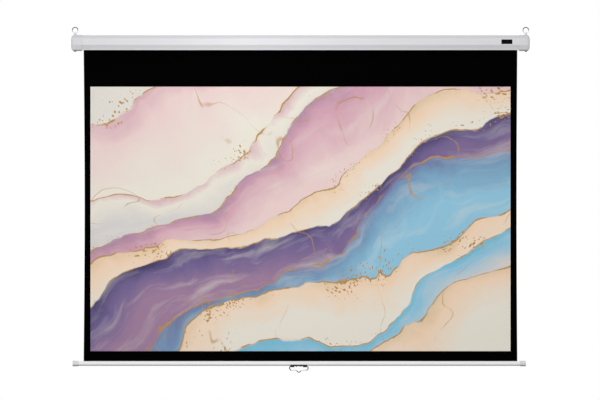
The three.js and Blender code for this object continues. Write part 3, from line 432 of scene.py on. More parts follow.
def masking_black(name, length):
    """Matt black fabric, in which the weave still shows."""
    made = Finish(name, specular=0.012, flat=True)
    weave = woven(made, FABRIC_WIDTH, length, 0.0007)
    tone = made.mixed(made.within(weave, -1, 1), (1, 1, 1), (4, 4, 4))
    return made.finished(tone, made.noise(90, 4, 0.6), (0.9, 1), weave, 0.00004, 0.6)


# Tints of the generic picture on the screen
PAPER = (235, 229, 216)
MIST = (215, 211, 209)
BLUSH = (235, 209, 206)
ROSE = (212, 164, 180)
MAUVE = (160, 128, 158)
VIOLET = (116, 102, 148)
INDIGO = (66, 60, 98)
BLUE = (122, 158, 190)
SKY = (146, 198, 222)
CYAN = (104, 186, 212)
PEACH = (243, 214, 186)
SAND = (222, 196, 158)
GOLD = (214, 170, 100)
OLD_GOLD = (158, 114, 60)

# Silk bands from the back to the front: height, wave, waves across, start of the wave,
# how far the tint runs down, and the tints from edge to foot
SILK_BANDS = [
    (0.72, 0.05, 2.3, 0.4, 0.3, (ROSE, BLUSH, PAPER)),
    (0.56, 0.06, 3.1, 2.6, 0.22, (ROSE, PAPER, MIST)),
    (0.41, 0.075, 2.6, 4.4, 0.26, (MAUVE, ROSE, BLUSH)),
    (0.25, 0.05, 3.4, 1.9, 0.2, (SAND, PEACH, PAPER)),
    (0.14, 0.06, 3.3, 0.9, 0.26, (INDIGO, VIOLET, MAUVE)),
    (-0.02, 0.07, 2.9, 3.3, 0.24, (VIOLET, BLUE, SKY)),
    (-0.16, 0.055, 3.6, 5.2, 0.2, (SAND, PEACH, PAPER)),
    (-0.28, 0.06, 2.7, 1.7, 0.22, (CYAN, SKY, MIST)),
    (-0.43, 0.045, 3.9, 3.9, 0.22, (SAND, PEACH, PAPER)),
]
PICTURE_TILT = radians(24)
VEIN_WIDTH = 0.0036
AGATE_WIDTH = 0.0035
DUST_SCALE = 105
DUST_REACH = 0.075


def silk_picture(made, aspect):
    """A generic wash of silk bands with gold veins and gold dust."""
    flat = made.stretched((aspect, 1, 1), (0, 0, -PICTURE_TILT))
    swept = made.drifted(made.drifted(flat, 1.15, 2, 0.62), 3.4, 3, 0.17)
    torn = made.drifted(swept, 13, 4, 0.028)
    across, height = made.along(0, torn), made.along(1, torn)
    streaks = made.noise(5, 5, 0.62, torn)
    breaks = made.noise(9, 3, 0.5, flat)
    patchy = made.within(breaks, 0.42, 0.54, 0.1, 1)
    tint = made.mixed(streaks, PAPER, MIST)
    gold, near = 0, 0
    for level, wave, count, start, fall, tints in SILK_BANDS:
        swing = made.maths("SINE", made.maths("MULTIPLY_ADD", across, count, start))
        edge = made.maths("MULTIPLY_ADD", swing, wave, level)
        below = made.maths("SUBTRACT", edge, height)
        inside = made.within(below, 0, 0.004)
        outside = made.maths("SUBTRACT", 1, inside)
        run = made.maths("MULTIPLY_ADD", streaks, 0.16, below)
        band = made.ramp(made.within(run, 0.05, fall), (0, 0.4, 1), tints)
        tint = made.mixed(inside, tint, band)
        away = made.maths("ABSOLUTE", below)
        vein = made.within(away, 0, VEIN_WIDTH, 1.7, 0)
        gold = made.most(made.times(gold, outside), made.times(vein, patchy))
        near = made.most(made.times(near, outside), made.within(away, 0, DUST_REACH, 1, 0))
    drawn = made.vectors("MULTIPLY", torn, (3, 15, 1))[0]
    wisps = made.within(made.noise(1, 5, 0.6, drawn), 0.5, 0.75, 0, 0.42)
    tint = made.mixed(wisps, tint, PAPER)
    field = made.maths("SUBTRACT", made.noise(2.1, 2, 0.5, swept), 0.53)
    agate = made.within(made.maths("ABSOLUTE", field), 0, AGATE_WIDTH, 1, 0)
    gold = made.most(gold, made.times(agate, made.within(breaks, 0.46, 0.6, 0, 0.8)))
    cells = made.shade("TexVoronoi", torn, None, DUST_SCALE)
    size = made.shade("SeparateColor", cells["Color"])[0]
    flung = made.within(made.noise(2.9, 3, 0.6, flat), 0.47, 0.64)
    reach = made.times(size, made.times(flung, made.within(near, 0, 1, 0, 0.85)))
    grains = made.within(made.maths("SUBTRACT", reach, cells["Distance"]), 0, 0.05)
    leaf = made.mixed(made.noise(60, 3, 0.6, flat), OLD_GOLD, GOLD)
    return made.mixed(made.most(gold, grains), tint, leaf)


def screen_coat(name, width, length):
    """The matt white coat, with the picture on it."""
    made = Finish(name, specular=0.1, flat=True)
    weave = woven(made, width, length, 0.0006)
    tone = silk_picture(made, width / length)
    return made.finished(tone, made.noise(80, 4, 0.6), (0.85, 0.95), weave, 0.00002, 0.6)


CASE_PAINT = powder_coat()
# The cap's foot is painted darker, as shade under it
CAP_PLASTIC = moulded(
    "cap_plastic", (221, 221, 223), (216, 216, 219), painted_shade=(118, 118, 121), reach=CAP_PAINTED_SHADE,
)
BAR_PAINT = bar_enamel()
# The bar caps' feet are painted darker, as shade under them
BAR_CAP_PLASTIC = moulded(
    "bar_cap_plastic", (229, 229, 230), (223, 223, 224), painted_shade=(146, 146, 148), reach=BAR_PAINTED_SHADE,
)
# Bail and rings carry painted dark reflections in their colour
BAIL_CHROME = chrome_with_painted_reflection()
RING_PLATE = plate_with_painted_reflection()
DARK_SCREW = bright_metal("dark_screw", (78, 78, 81), (56, 56, 59), (0.3, 0.45))
ZINC = zinc_plate()
DARK_STEEL = bright_metal("dark_steel", (74, 74, 77), (52, 52, 55), (0.35, 0.5))
SPRING_STEEL = bright_metal("spring_steel", (112, 115, 120), (84, 86, 92), (0.25, 0.4))
NYLON = turned_nylon()
BLACK_PLASTIC = moulded("black_plastic", (14, 14, 15), (20, 20, 21), (0.42, 0.58), 0.3)
BADGE_BLACK = moulded("badge_black", (2, 2, 2), (5, 5, 5), (0.34, 0.46), 0.06, grain=400)


class Tree(Nodes):
    """A Geometry Nodes tree with named inputs."""

    def __init__(self, name, *labels):
        super().__init__(bpy.data.node_groups.new(name, "GeometryNodeTree"))
        face = self.tree.interface
        for way in ("INPUT", "OUTPUT"):
            face.new_socket("Geometry", in_out=way, socket_type="NodeSocketGeometry")
        for label in (*labels, "Material"):
            kind = {"Material": "Material", "Facets": "Int"}.get(label, "Float")
            face.new_socket(label, in_out="INPUT", socket_type=f"NodeSocket{kind}")
        self.size = self.add("NodeGroupInput").outputs

    def node(self, kind, values, **settings):
        """What a geometry node makes, its inputs given by name."""
        made = self.add(f"GeometryNode{kind}", **settings)
        for key, value in values.items():
            for one in value if isinstance(value, list) else [value]:
                self.feed(made.inputs[key], one)
        return made.outputs[0]

    def vector(self, x=0, y=0, z=0):
        return self.shade("CombineXYZ", x, y, z)[0]

    def line(self):
        return self.node("MeshToCurve", {"Mesh": self.size["Geometry"]})

    def bent_line(self):
        bends = {"Radius": self.size["Bend radius"], "Count": self.size["Facets"], "Limit Radius": True}
        return self.node("FilletCurve", {"Curve": self.line(), **bends}, mode="POLY")

    def wire(self, path, sides):
        section = {"Radius": self.size["Wire radius"], "Resolution": sides}
        return self.swept(path, self.node("CurvePrimitiveCircle", section))

    def swept(self, path, section):
        return self.node("CurveToMesh", {"Curve": path, "Profile Curve": section, "Fill Caps": True})

    def cut(self, base, tools):
        return self.node("MeshBoolean", {"Mesh 1": base, "Mesh 2": tools}, solver="EXACT")

    def moved(self, shape, **changes):
        return self.node("Transform", {"Geometry": shape, **changes})

    def finish(self, shape):
        real = self.node("RealizeInstances", {"Geometry": shape})
        done = self.node("SetMaterial", {"Geometry": real, "Material": self.size["Material"]})
        self.add("NodeGroupOutput", done)
        return self.tree


def folded_sheet_tree():
    """Sheet metal folded along a path."""
    tree = Tree("folded_sheet", "Sheet length", "Sheet thickness", "Bend radius", "Facets")
    sides = {"Width": tree.size["Sheet length"], "Height": tree.size["Sheet thickness"]}
    strip = tree.node("CurvePrimitiveQuadrilateral", sides)
    return tree.finish(tree.swept(tree.bent_line(), strip))


def bent_wire_tree():
    """Round wire bent along a path."""
    tree = Tree("bent_wire", "Wire radius", "Bend radius", "Facets")
    return tree.finish(tree.wire(tree.bent_line(), SMALL_SIDES))


def coil_tree():
    """A coil spring wound about the X axis."""
    tree = Tree("coil", "Wire radius", "Coil radius", "Coil length", "Turns")
    radius = tree.size["Coil radius"]
    spiral = tree.node("CurveSpiral", {
        "Resolution": COIL_FACETS, "Rotations": tree.size["Turns"], "Start Radius": radius,
        "End Radius": radius, "Height": tree.size["Coil length"],
    })
    coil = tree.wire(spiral, COIL_SIDES)
    return tree.finish(tree.moved(coil, Rotation=(0, pi / 2, 0)))


def extrusion_tree():
    """A section with its hollows, drawn out along the X axis."""
    tree = Tree("extrusion", "Bar length")
    length = tree.size["Bar length"]
    section = tree.node("FillCurve", {"Curve": tree.line()}, mode="NGONS")
    drawn = tree.node("ExtrudeMesh", {
        "Mesh": section, "Offset": (0, 0, 1), "Offset Scale": length, "Individual": False,
    })
    both = tree.node("JoinGeometry", {"Geometry": [drawn, tree.node("FlipFaces", {"Mesh": section})]})
    sealed = tree.node("MergeByDistance", {"Geometry": both, "Distance": WELD})
    start = tree.vector(x=tree.times(length, -0.5))
    return tree.finish(tree.moved(sealed, Translation=start, Rotation=(pi / 2, 0, pi / 2)))


def cross_screw_tree():
    """Pan-head screws with a cross recess, heads down, one at each point."""
    tree = Tree("cross_screws", "Head radius", "Head height", "Shank radius", "Shank length")
    radius, height = tree.size["Head radius"], tree.size["Head height"]

    def block(width, depth, tall, z):
        cube = tree.node("MeshCube", {"Size": tree.vector(width, depth, tall)})
        return tree.moved(cube, Translation=tree.vector(z=z))

    ball = tree.node("MeshUVSphere", {**HEAD_FACETS, "Radius": radius})
    dome = tree.moved(ball, Scale=tree.vector(1, 1, tree.maths("DIVIDE", height, radius)))
    wide = tree.times(radius, 4)
    head = tree.cut(dome, [block(wide, wide, wide, tree.times(radius, 2))])
    across, slim = tree.times(radius, RECESS_SPAN), tree.times(radius, RECESS_SLOT)
    deep, drop = tree.times(height, RECESS_TALL), tree.times(height, RECESS_DROP)
    driven = tree.cut(head, [block(across, slim, deep, drop), block(slim, across, deep, drop)])
    length = tree.size["Shank length"]
    pin = {"Vertices": SMALL_SIDES, "Radius": tree.size["Shank radius"], "Depth": length}
    middle = tree.maths("SUBTRACT", tree.times(length, 0.5), tree.times(height, SHANK_SUNK))
    shank = tree.moved(tree.node("MeshCylinder", pin), Translation=tree.vector(z=middle))
    both = {"Mesh 2": [driven, shank]}
    screw = tree.node("MeshBoolean", both, operation="UNION", solver="EXACT")
    places = {"Points": tree.size["Geometry"], "Instance": screw}
    return tree.finish(tree.node("InstanceOnPoints", places))


def modified(base, *steps, **inputs):
    """A mesh after modifiers, each a kind and its settings. A tree takes its inputs by name."""
    maker = placed("maker", base)
    for kind, settings in steps:
        modifier = maker.modifiers.new("step", kind)
        for key, value in settings.items():
            setattr(modifier, key, value)
        for item in modifier.node_group.interface.items_tree if inputs else ():
            if item.name in inputs:
                modifier[item.identifier] = inputs[item.name]
    graph = bpy.context.evaluated_depsgraph_get()
    mesh = bpy.data.meshes.new_from_object(maker.evaluated_get(graph))
    bpy.data.objects.remove(maker)
    return mesh


def grown(tree, base, material, sizes):
    """The mesh that a tree makes from a base mesh."""
    return modified(base, ("NODES", {"node_group": tree}), Material=material, **sizes)


def lines_mesh(*lines, closed=False):
    """A mesh of bare edges along each line of points."""
    points, edges = [], []
    for line in lines:
        first, count = len(points), len(line)
        points += [tuple(p) for p in line]
        edges += [(first + i, first + (i + 1) % count) for i in range(count if closed else count - 1)]
    made = bpy.data.meshes.new("lines")
    made.from_pydata(points, edges, [])
    return made


def arc(radius, start, sweep, steps, middle):
    """Points along an arc and at both its ends."""
    angles = [start + sweep * k / steps for k in range(steps + 1)]
    return [middle + radius * Vector((cos(angle), sin(angle))) for angle in angles]


def rounded(corners, radius, facets=BEND_FACETS):
    """A closed outline whose corners are arcs."""
    path = []
    for i, corner in enumerate(corners):
        back = corners[i - 1] - corner
        on = corners[i + 1 - len(corners)] - corner
        half = back.angle(on) / 2
        longest = BEND_SHARE * min(back.length, on.length)
        reach = min(radius / tan(half), longest)
        bend = reach * tan(half)
        back.normalize()
        on.normalize()
        middle = corner + (back + on).normalized() * bend / sin(half)
        start, end = (corner + way * reach - middle for way in (back, on))
        begin = atan2(start.y, start.x)
        turn = (atan2(end.y, end.x) - begin + pi) % (2 * pi) - pi
        path += arc(bend, begin, turn, facets, middle)
    return path


def shifted(corners, distance):
    """A closed outline grown by a distance, its corners kept sharp."""
    made = []
    for i, corner in enumerate(corners):
        before = (corner - corners[i - 1]).normalized()
        after = (corners[i + 1 - len(corners)] - corner).normalized()
        a = Vector((before.y, -before.x))
        b = Vector((after.y, -after.x))
        made.append(corner + (a + b) * distance / (1 + a.dot(b)))
    return made


def oblong(depth, height, y=0.0, z=0.0):
    corners = ((-1, -1), (1, -1), (1, 1), (-1, 1))
    return [Vector((y + a * depth / 2, z + b * height / 2)) for a, b in corners]


def circle(radius, sides, y=0.0, z=0.0):
    return arc(radius, 0, 2 * pi, sides, Vector((y, z)))[:-1]


def meshed(made):
    """The mesh of a closed skin, its faces turned outwards."""
    bmesh.ops.recalc_face_normals(made, faces=made.faces)
    mesh = bpy.data.meshes.new("skin")
    made.to_mesh(mesh)
    made.free()
    return mesh


def skinned(rings):
    """A closed skin over rings of points, with flat ends."""
    made = bmesh.new()
    rows = [[made.verts.new(p) for p in ring] for ring in rings]
    for low, high in zip(rows, rows[1:]):
        for i in range(len(low)):
            made.faces.new((low[i - 1], low[i], high[i], high[i - 1]))
    made.faces.new(rows[0][::-1])
    made.faces.new(rows[-1])
    return meshed(made)


def ring_at(x, outline):
    return [Vector((x, p.x, p.y)) for p in outline]


def along_x(outline, start, end):
    return skinned([ring_at(start, outline), ring_at(end, outline)])


def turned(profile, sides, x=0.0, y=0.0):
    """A solid turned about an upright axis, from (height, radius) pairs."""
    rings = [(z, circle(radius, sides, x, y)) for z, radius in profile]
    return skinned([[Vector((p.x, p.y, z)) for p in ring] for z, ring in rings])


def rod(radius, bottom, top, sides=SMALL_SIDES, x=0.0, y=0.0):
    return turned([(bottom, radius), (top, radius)], sides, x, y)


def combined(base, operation, tools):
    """A mesh with others joined to it or cut from it."""
    helpers = [placed("tool", tool) for tool in tools]
    settings = {"operation": operation, "solver": "EXACT"}
    made = modified(base, *(("BOOLEAN", {**settings, "object": helper}) for helper in helpers))
    for helper in helpers:
        bpy.data.objects.remove(helper)
    return made


def joined(base, *tools):
    return combined(base, "UNION", tools)


def cut(base, *tools):
    return combined(base, "DIFFERENCE", tools)


def mirrored(mesh):
    """The same solid on the other side."""
    made = mesh.copy()
    made.transform(Matrix.Scale(-1, 4, (1, 0, 0)))
    made.flip_normals()
    return made


def moved(mesh, x=0.0, y=0.0, z=0.0):
    mesh.transform(Matrix.Translation((x, y, z)))
    return mesh


def piece(name, mesh, body, material, nodes):
    """A finished piece on its body, in place of its CAD nodes."""
    mesh.materials.clear()
    mesh.materials.append(material)
    mesh.shade_smooth()
    mesh.set_sharp_from_angle(angle=CREASE)
    made = placed(name, mesh)
    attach(made, body)
    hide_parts(*nodes)
    return made


def pair(name, node, mesh, shift, body, material):
    """A piece on the right end, and its mirror image on the left."""
    for side, made in (("right", mesh), ("left", mirrored(mesh))):
        piece(f"{name}_{side}", moved(made, shift), body, material, [f"{node}_{side}"])


# Camera, square on to the screen and far away
CAMERA_AWAY = 60
CAMERA_AT = (-0.0024, -0.8827)
FRAME_WIDTH = 3.0756
SENSOR_WIDTH = 36
CLIP_END = 200
view = bpy.data.cameras.new("camera")
view.sensor_width = SENSOR_WIDTH
view.lens = SENSOR_WIDTH * CAMERA_AWAY / FRAME_WIDTH
view.clip_end = CLIP_END
camera = placed("camera", view)
camera.location = (CAMERA_AT[0], -CAMERA_AWAY, CAMERA_AT[1])
camera.rotation_euler = (radians(90), 0, 0)
scene.camera = camera

# Case: one folded sheet with a hemmed slot in its underside
FACE_BOTTOM = -HALF_HEIGHT + LIP_HEIGHT + LOW_CHAMFER_RISE
LIP_FRONT = -HALF_DEPTH + LOW_CHAMFER_RUN
SHEET_Y = (sheet_low.y + sheet_high.y) / 2
SLOT_REAR = SHEET_Y + SLOT_WIDTH / 2 - SLOT_HEM / 2
SLOT_FRONT = SLOT_REAR - SLOT_WIDTH
middle = CASE_SHEET / 2


def case_path():
    """The middle of the sheet, from the slot's rear hem to its front hem."""
    rise = tan(atan2(TOP_CHAMFER_RUN, TOP_CHAMFER_RISE) / 2) * middle
    low = tan(atan2(LOW_CHAMFER_RUN, LOW_CHAMFER_RISE) / 2) * middle
    rear = tan(radians(45) / 2) * middle
    hem, bottom, top = -HALF_HEIGHT + SLOT_HEM, -HALF_HEIGHT + middle, HALF_HEIGHT - middle
    front, back = -HALF_DEPTH + middle, HALF_DEPTH - middle
    lip, slot, slot_end = LIP_FRONT + middle, SLOT_REAR + middle, SLOT_FRONT - middle
    return [
        (slot, hem), (slot, bottom), (back, bottom),
        (back, HALF_HEIGHT - REAR_CHAMFER - rear), (HALF_DEPTH - REAR_CHAMFER - rear, top),
        (-HALF_DEPTH + TOP_CHAMFER_RUN + middle - rise, top),
        (front, HALF_HEIGHT - TOP_CHAMFER_RISE - rise), (front, FACE_BOTTOM + low),
        (lip, -HALF_HEIGHT + LIP_HEIGHT + low), (lip, bottom), (slot_end, bottom), (slot_end, hem),
    ]


section = lines_mesh([(0, y, AXIS_HEIGHT + z) for y, z in case_path()])
case_mesh = grown(folded_sheet_tree(), section, CASE_PAINT, {
    "Sheet length": 2 * CASE_HALF, "Sheet thickness": CASE_SHEET,
    "Bend radius": CASE_BEND - middle, "Facets": BEND_FACETS,
})
hole_radius = SLEEVE_SCREW["Shank radius"] + SEAT_GAP
hole_ends = (CASE_BOTTOM - OVERRUN, CASE_BOTTOM + CASE_SHEET + OVERRUN)
holes = [rod(hole_radius, *hole_ends, x=side * (CASE_HALF - SCREW_IN)) for side in (-1, 1)]
piece("case_body", cut(case_mesh, *holes), "root", CASE_PAINT, ["case_shell"])

# End caps, made about the case's right end and axis
EYE_OUT = EYE_X - CASE_HALF


def case_outline(growth, floor):
    """The case's outside without its slot, grown by one distance, by another at its floor."""
    bottom = -HALF_HEIGHT + growth - floor
    corners = [
        (HALF_DEPTH, bottom), (HALF_DEPTH, HALF_HEIGHT - REAR_CHAMFER),
        (HALF_DEPTH - REAR_CHAMFER, HALF_HEIGHT), (-HALF_DEPTH + TOP_CHAMFER_RUN, HALF_HEIGHT),
        (-HALF_DEPTH, HALF_HEIGHT - TOP_CHAMFER_RISE), (-HALF_DEPTH, FACE_BOTTOM),
        (LIP_FRONT, bottom),
    ]
    return rounded(shifted([Vector(p) for p in corners], growth), CASE_BEND + growth)


def domed(growth, floor, length, start, ease=0.0):
    """The case's outline with a domed end."""
    outline = case_outline(growth, floor)
    rings = [ring_at(start + ease, outline)]
    if ease:
        rings.insert(0, ring_at(start, case_outline(growth - ease, floor - ease)))
    for k in range(DOME_STEPS + 1):
        angle = pi / 2 * k / DOME_STEPS
        bow = 1 - cos(angle) ** (2 / DOME_POWER)
        side = 1 - bow * DOME_SIDE_DROP / (HALF_DEPTH + growth)
        top = 1 - bow * DOME_END_DROP / (HALF_HEIGHT + growth)
        foot = 1 - bow * DOME_END_DROP / (HALF_HEIGHT + floor)
        drawn = [Vector((p.x * side, p.y * (top if p.y > 0 else foot))) for p in outline]
        rings.append(ring_at(EYE_OUT + length * sin(angle) ** (2 / DOME_POWER), drawn))
    return skinned(rings)


def post(side, root, height, radius, spread):
    """A boss over the cap or a chin under it, wider at its root."""
    root = side * HALF_HEIGHT - root
    tip = side * (HALF_HEIGHT + height)
    rise = tip - side * CAP_EASE - root
    profile = [(side * TONGUE, radius + spread)]
    for k in range(FLARE_STEPS + 1):
        share = k / FLARE_STEPS
        profile.append((root + rise * share, radius + spread * (1 - share) ** FLARE_POWER))
    return turned([*profile, (tip, radius - CAP_EASE)], ROUND_SIDES, EYE_OUT)


def cap_mesh():
    wall = SEAT_GAP + CAP_WALL
    floor = SEAT_GAP + CAP_FLOOR
    shell = domed(wall, floor, DOME_LENGTH, -CAP_SLEEVE, CAP_EASE)
    cavity = domed(SEAT_GAP, SEAT_GAP, DOME_LENGTH - CAP_END_WALL, -CAP_SLEEVE - OVERRUN)
    boss = post(1, BOSS_ROOT, BOSS_HEIGHT, BOSS_RADIUS, BOSS_FLARE)
    chin = post(-1, CHIN_ROOT, CHIN_HEIGHT, CHIN_RADIUS, CHIN_FLARE)
    near, far = TONGUE + SEAT_GAP, HALF_HEIGHT + wall / 2
    pads = [rod(PAD_RADIUS, *ends, ROUND_SIDES, EYE_OUT) for ends in ((near, far), (-far, -near))]
    top = HALF_HEIGHT + BOSS_HEIGHT + OVERRUN
    foot = -HALF_HEIGHT - CHIN_HEIGHT - OVERRUN
    screw_hole = CAP_SCREW["Shank radius"] + SEAT_GAP
    recess = SLEEVE_SCREW["Head radius"] + SEAT_GAP
    holes = [
        rod(EYE_SHANK + SEAT_GAP, 0, top, x=EYE_OUT),
        rod(screw_hole, foot, 0, x=EYE_OUT),
        rod(hole_radius, -HALF_HEIGHT - wall - OVERRUN, -HALF_HEIGHT + OVERRUN, x=-SCREW_IN),
        rod(recess, -HALF_HEIGHT - floor - OVERRUN, -HALF_HEIGHT - wall, x=-SCREW_IN),
    ]
    solid = cut(joined(cut(joined(shell, boss, chin), cavity), *pads), *holes)
    return moved(solid, CASE_HALF, 0, AXIS_HEIGHT)


pair("cap", "end_cap", cap_mesh(), 0, "root", CAP_PLASTIC)

# Hanging eyes
wire_tree = bent_wire_tree()


def eye_mesh():
    """A ring of wire on a collar, with a threaded shank under it."""
    radius = EYE_BORE + EYE_WIRE
    loop = [(p.x, 0, p.y) for p in circle(radius, ROUND_SIDES, 0, -EYE_BORE)]
    ring = grown(wire_tree, lines_mesh(loop, closed=True), RING_PLATE, {
        "Wire radius": EYE_WIRE, "Bend radius": 0.0, "Facets": 1,
    })
    neck = EYE_BOTTOM - EYE_NECK
    collar = EYE_NECK / 4
    length = neck - EYE_END
    count = round(length / EYE_PITCH)
    radii = (EYE_SHANK - EYE_THREAD, EYE_SHANK)
    profile = [(EYE_END + length * k / count, radii[k % 2]) for k in range(count)]
    profile += [
        (neck, EYE_SHANK),
        (neck, NECK_RADIUS - collar),
        (neck + collar, NECK_RADIUS),
        (EYE_BOTTOM - collar, NECK_RADIUS),
        (EYE_BOTTOM + collar, NECK_RADIUS * NECK_TAPER),
    ]
    profile += [(EYE_BOTTOM + EYE_WIRE * up, EYE_WIRE * out) for up, out in EYE_FILLET]
    return joined(ring, turned(profile, SMALL_SIDES))


for name, side in (("left", -1), ("right", 1)):
    piece(
        f"eye_{name}", moved(eye_mesh(), side * EYE_X), f"{name}_eye", RING_PLATE,
        [f"hanging_eye_{name}"],
    )

# Screws, one tree for all sizes
screw_tree = cross_screw_tree()


def screws(name, sizes, body):
    """Both screws of one kind, seated where their CAD nodes are."""
    nodes = [f"{name}_left", f"{name}_right"]
    boxes = [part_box(node) for node in nodes]
    head = sizes["Head height"]
    places = [[((low.x + high.x) / 2, (low.y + high.y) / 2, low.z + head)] for low, high in boxes]
    low, high = boxes[0]
    lengths = {**sizes, "Shank length": high.z - low.z - head}
    mesh = grown(screw_tree, lines_mesh(*places), DARK_SCREW, lengths)
    piece(f"{name}s", mesh, body, DARK_SCREW, nodes)


screws("cap_screw", CAP_SCREW, "root")
screws("sleeve_screw", SLEEVE_SCREW, "root")
screws("handle_screw", HANDLE_SCREW, "bar")

# Badge: a bare plate with rounded corners and a raised rim
badge_middle = (badge_low + badge_high) / 2
badge_size = badge_high - badge_low


def badge_ring(inset, y):
    """The badge's outline, less an inset."""
    corners = oblong(badge_size.x - 2 * inset, badge_size.z - 2 * inset)
    outline = rounded(corners, max(BADGE_CORNER - inset, BADGE_EASE), BADGE_FACETS)
    return [Vector((badge_middle.x + p.x, y, badge_middle.z + p.y)) for p in outline]


badge_mesh = skinned([
    badge_ring(0, badge_high.y),
    badge_ring(0, badge_low.y + BADGE_EASE),
    badge_ring(BADGE_EASE, badge_low.y),
    badge_ring(BADGE_RIM, badge_low.y),
    badge_ring(BADGE_RIM + BADGE_SUNK, badge_low.y + BADGE_SUNK),
])
piece("badge_plate", badge_mesh, "root", BADGE_BLACK, ["badge"])

# Fabric: the turns on the roller


def fabric_mesh(rows, looped=False):
    """A closed skin over rows round a cloth, of points and places on it laid flat."""
    made = bmesh.new()
    flat = made.loops.layers.uv.new("Flat")
    grid = [[(made.verts.new(point), uv) for point, uv in row] for row in rows]
    if looped:
        grid.append([(vert, (u, 1)) for vert, (u, _) in grid[0]])

    def patch(*corners):
        face = made.faces.new([vert for vert, _ in corners])
        for loop, (_, uv) in zip(face.loops, corners):
            loop[flat].uv = uv

    count = len(grid[0])
    for low, high in zip(grid, grid[1:]):
        for i in range(count):
            patch(low[i - 1], low[i], high[i], high[i - 1])
    for row in () if looped else (grid[0], grid[-1]):
        for i in range(count // 2 - 1):
            patch(row[i], row[i + 1], row[-2 - i], row[-1 - i])
    return meshed(made)


def round_row(middle, inner, outer, angle, share):
    """The cloth's four corners where it has turned by an angle about X."""
    row = []
    for radius, side in ((inner, -1), (inner, 1), (outer, 1), (outer, -1)):
        y, z = middle.x + radius * cos(angle), middle.y + radius * sin(angle)
        row.append(((side * FABRIC_HALF, y, z), ((side + 1) / 2, share)))
    return row


def wrapped_rows():
    """The turns round the tube, until the sheet leaves it at the rear."""
    steps = 2 * ROUND_SIDES * WRAP_TURNS
    rows = []
    for k in range(steps + 1):
        share = k / steps
        inner = WRAP_INNER + (WRAP_TURNS - 1) * FABRIC_THICKNESS * share + COAT_GAP
        outer = inner + FABRIC_THICKNESS - 2 * COAT_GAP
        angle = -2 * pi * WRAP_TURNS * (1 - share)
        rows.append(round_row(Vector((0, AXIS_HEIGHT)), inner, outer, angle, share))
    return rows


wrap_length = 2 * pi * (WRAP_INNER + FABRIC_THICKNESS * WRAP_TURNS / 2) * WRAP_TURNS
roll = piece(
    "fabric_on_roller", fabric_mesh(wrapped_rows()), "roller",
    masking_black("wrapped_black", wrap_length), ["fabric_wraps"],
)

# Fabric: the hanging sheet and the picture on it
SHEET_LENGTH = sheet_high.z - sheet_low.z
BAR_TOP = bar_high.z
ACROSS_STEPS = 120
DOWN_STEPS = 90


def free_share(z):
    """How far down a height is, from 0 at the case to 1 at the bar."""
    return min(max((CASE_BOTTOM - z) / (CASE_BOTTOM - BAR_TOP), 0), 1)


def sheet_wave(x, z):
    """How far the sheet stands off its plane, in slack waves and curled edges."""
    held = sin(pi * free_share(z))
    wave = sin(LONG_WAVE[0] * x + LONG_WAVE[1])
    wave += SHORT_SHARE * sin(SHORT_WAVE[0] * x + SHORT_WAVE[1] + WAVE_LEAN * z)
    edge = max(abs(x) - (FABRIC_HALF - CURL_WIDTH), 0) / CURL_WIDTH
    return held * (WAVE_DEPTH * wave / (1 + SHORT_SHARE) * (1 - edge) + EDGE_CURL * edge ** 2)


def hanging_mesh(low, high, thickness, place_at):
    """A thin sheet, whose points a function places across it."""
    rows = []
    for k in range(DOWN_STEPS + 1):
        down = k / DOWN_STEPS
        z = high.z + (low.z - high.z) * down
        front = []
        for j in range(ACROSS_STEPS + 1):
            over = j / ACROSS_STEPS
            x = place_at(2 * over - 1, z)
            front.append(((x, low.y + sheet_wave(x, z), z), (over, 1 - down)))
        rows.append(front + [((x, y + thickness, z), uv) for (x, y, z), uv in front[::-1]])
    return fabric_mesh(rows)


def drawn_in(share, z):
    """A point across the sheet, drawn in between the case and the bar."""
    waist = LEFT_WAIST if share < 0 else RIGHT_WAIST
    return share * (FABRIC_HALF - waist * sin(pi * free_share(z)))


sheet = piece(
    "screen_sheet", hanging_mesh(sheet_low, sheet_high, FABRIC_THICKNESS, drawn_in), "root",
    masking_black("masking_black", SHEET_LENGTH), ["screen_fabric"],
)
COAT_HALF = coat_high.x
COAT_DEPTH = coat_high.y - coat_low.y - COAT_GAP
coat_mesh = hanging_mesh(coat_low, coat_high, COAT_DEPTH, lambda share, z: share * COAT_HALF)
coat = piece(
    "picture_coat", coat_mesh, "root",
    screen_coat("picture_coat", 2 * COAT_HALF, coat_high.z - coat_low.z), ["viewing_surface"],
)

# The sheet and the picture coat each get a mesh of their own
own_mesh(sheet)
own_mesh(coat)

# Hem round its rod, in the bar's pocket
hem_low, hem_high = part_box("fabric_hem")
HEM_MIDDLE = (hem_low + hem_high) / 2
HEM_RADIUS = (hem_high.z - hem_low.z) / 2
HEM_SIDES = 40
hem_place = (HEM_MIDDLE.yz, HEM_RADIUS - FABRIC_THICKNESS, HEM_RADIUS)
hem_shares = [k / HEM_SIDES for k in range(HEM_SIDES)]
hem_rows = [round_row(*hem_place, 2 * pi * share, share) for share in hem_shares]
hem_flat = 2 * pi * (HEM_RADIUS - FABRIC_THICKNESS / 2)
hem = piece(
    "hem_loop", fabric_mesh(hem_rows, looped=True), "bar",
    masking_black("hem_black", hem_flat), ["fabric_hem"],
)

# Weight bar, with a pocket for the hem and a hollow under it
BAR_HALF = (bar_high.x - bar_low.x) / 2
BAR_SHIFT = (bar_high.x + bar_low.x) / 2
BAR_DEPTH = bar_high.y - bar_low.y
BAR_HEIGHT = bar_high.z - bar_low.z
POCKET_RADIUS = HEM_RADIUS + SEAT_GAP


def bar_outline(growth, middle=-BAR_HEIGHT / 2):
    corners = oblong(BAR_DEPTH + 2 * growth, BAR_HEIGHT + 2 * growth, 0, middle)
    return rounded(corners, BAR_CORNER + growth)


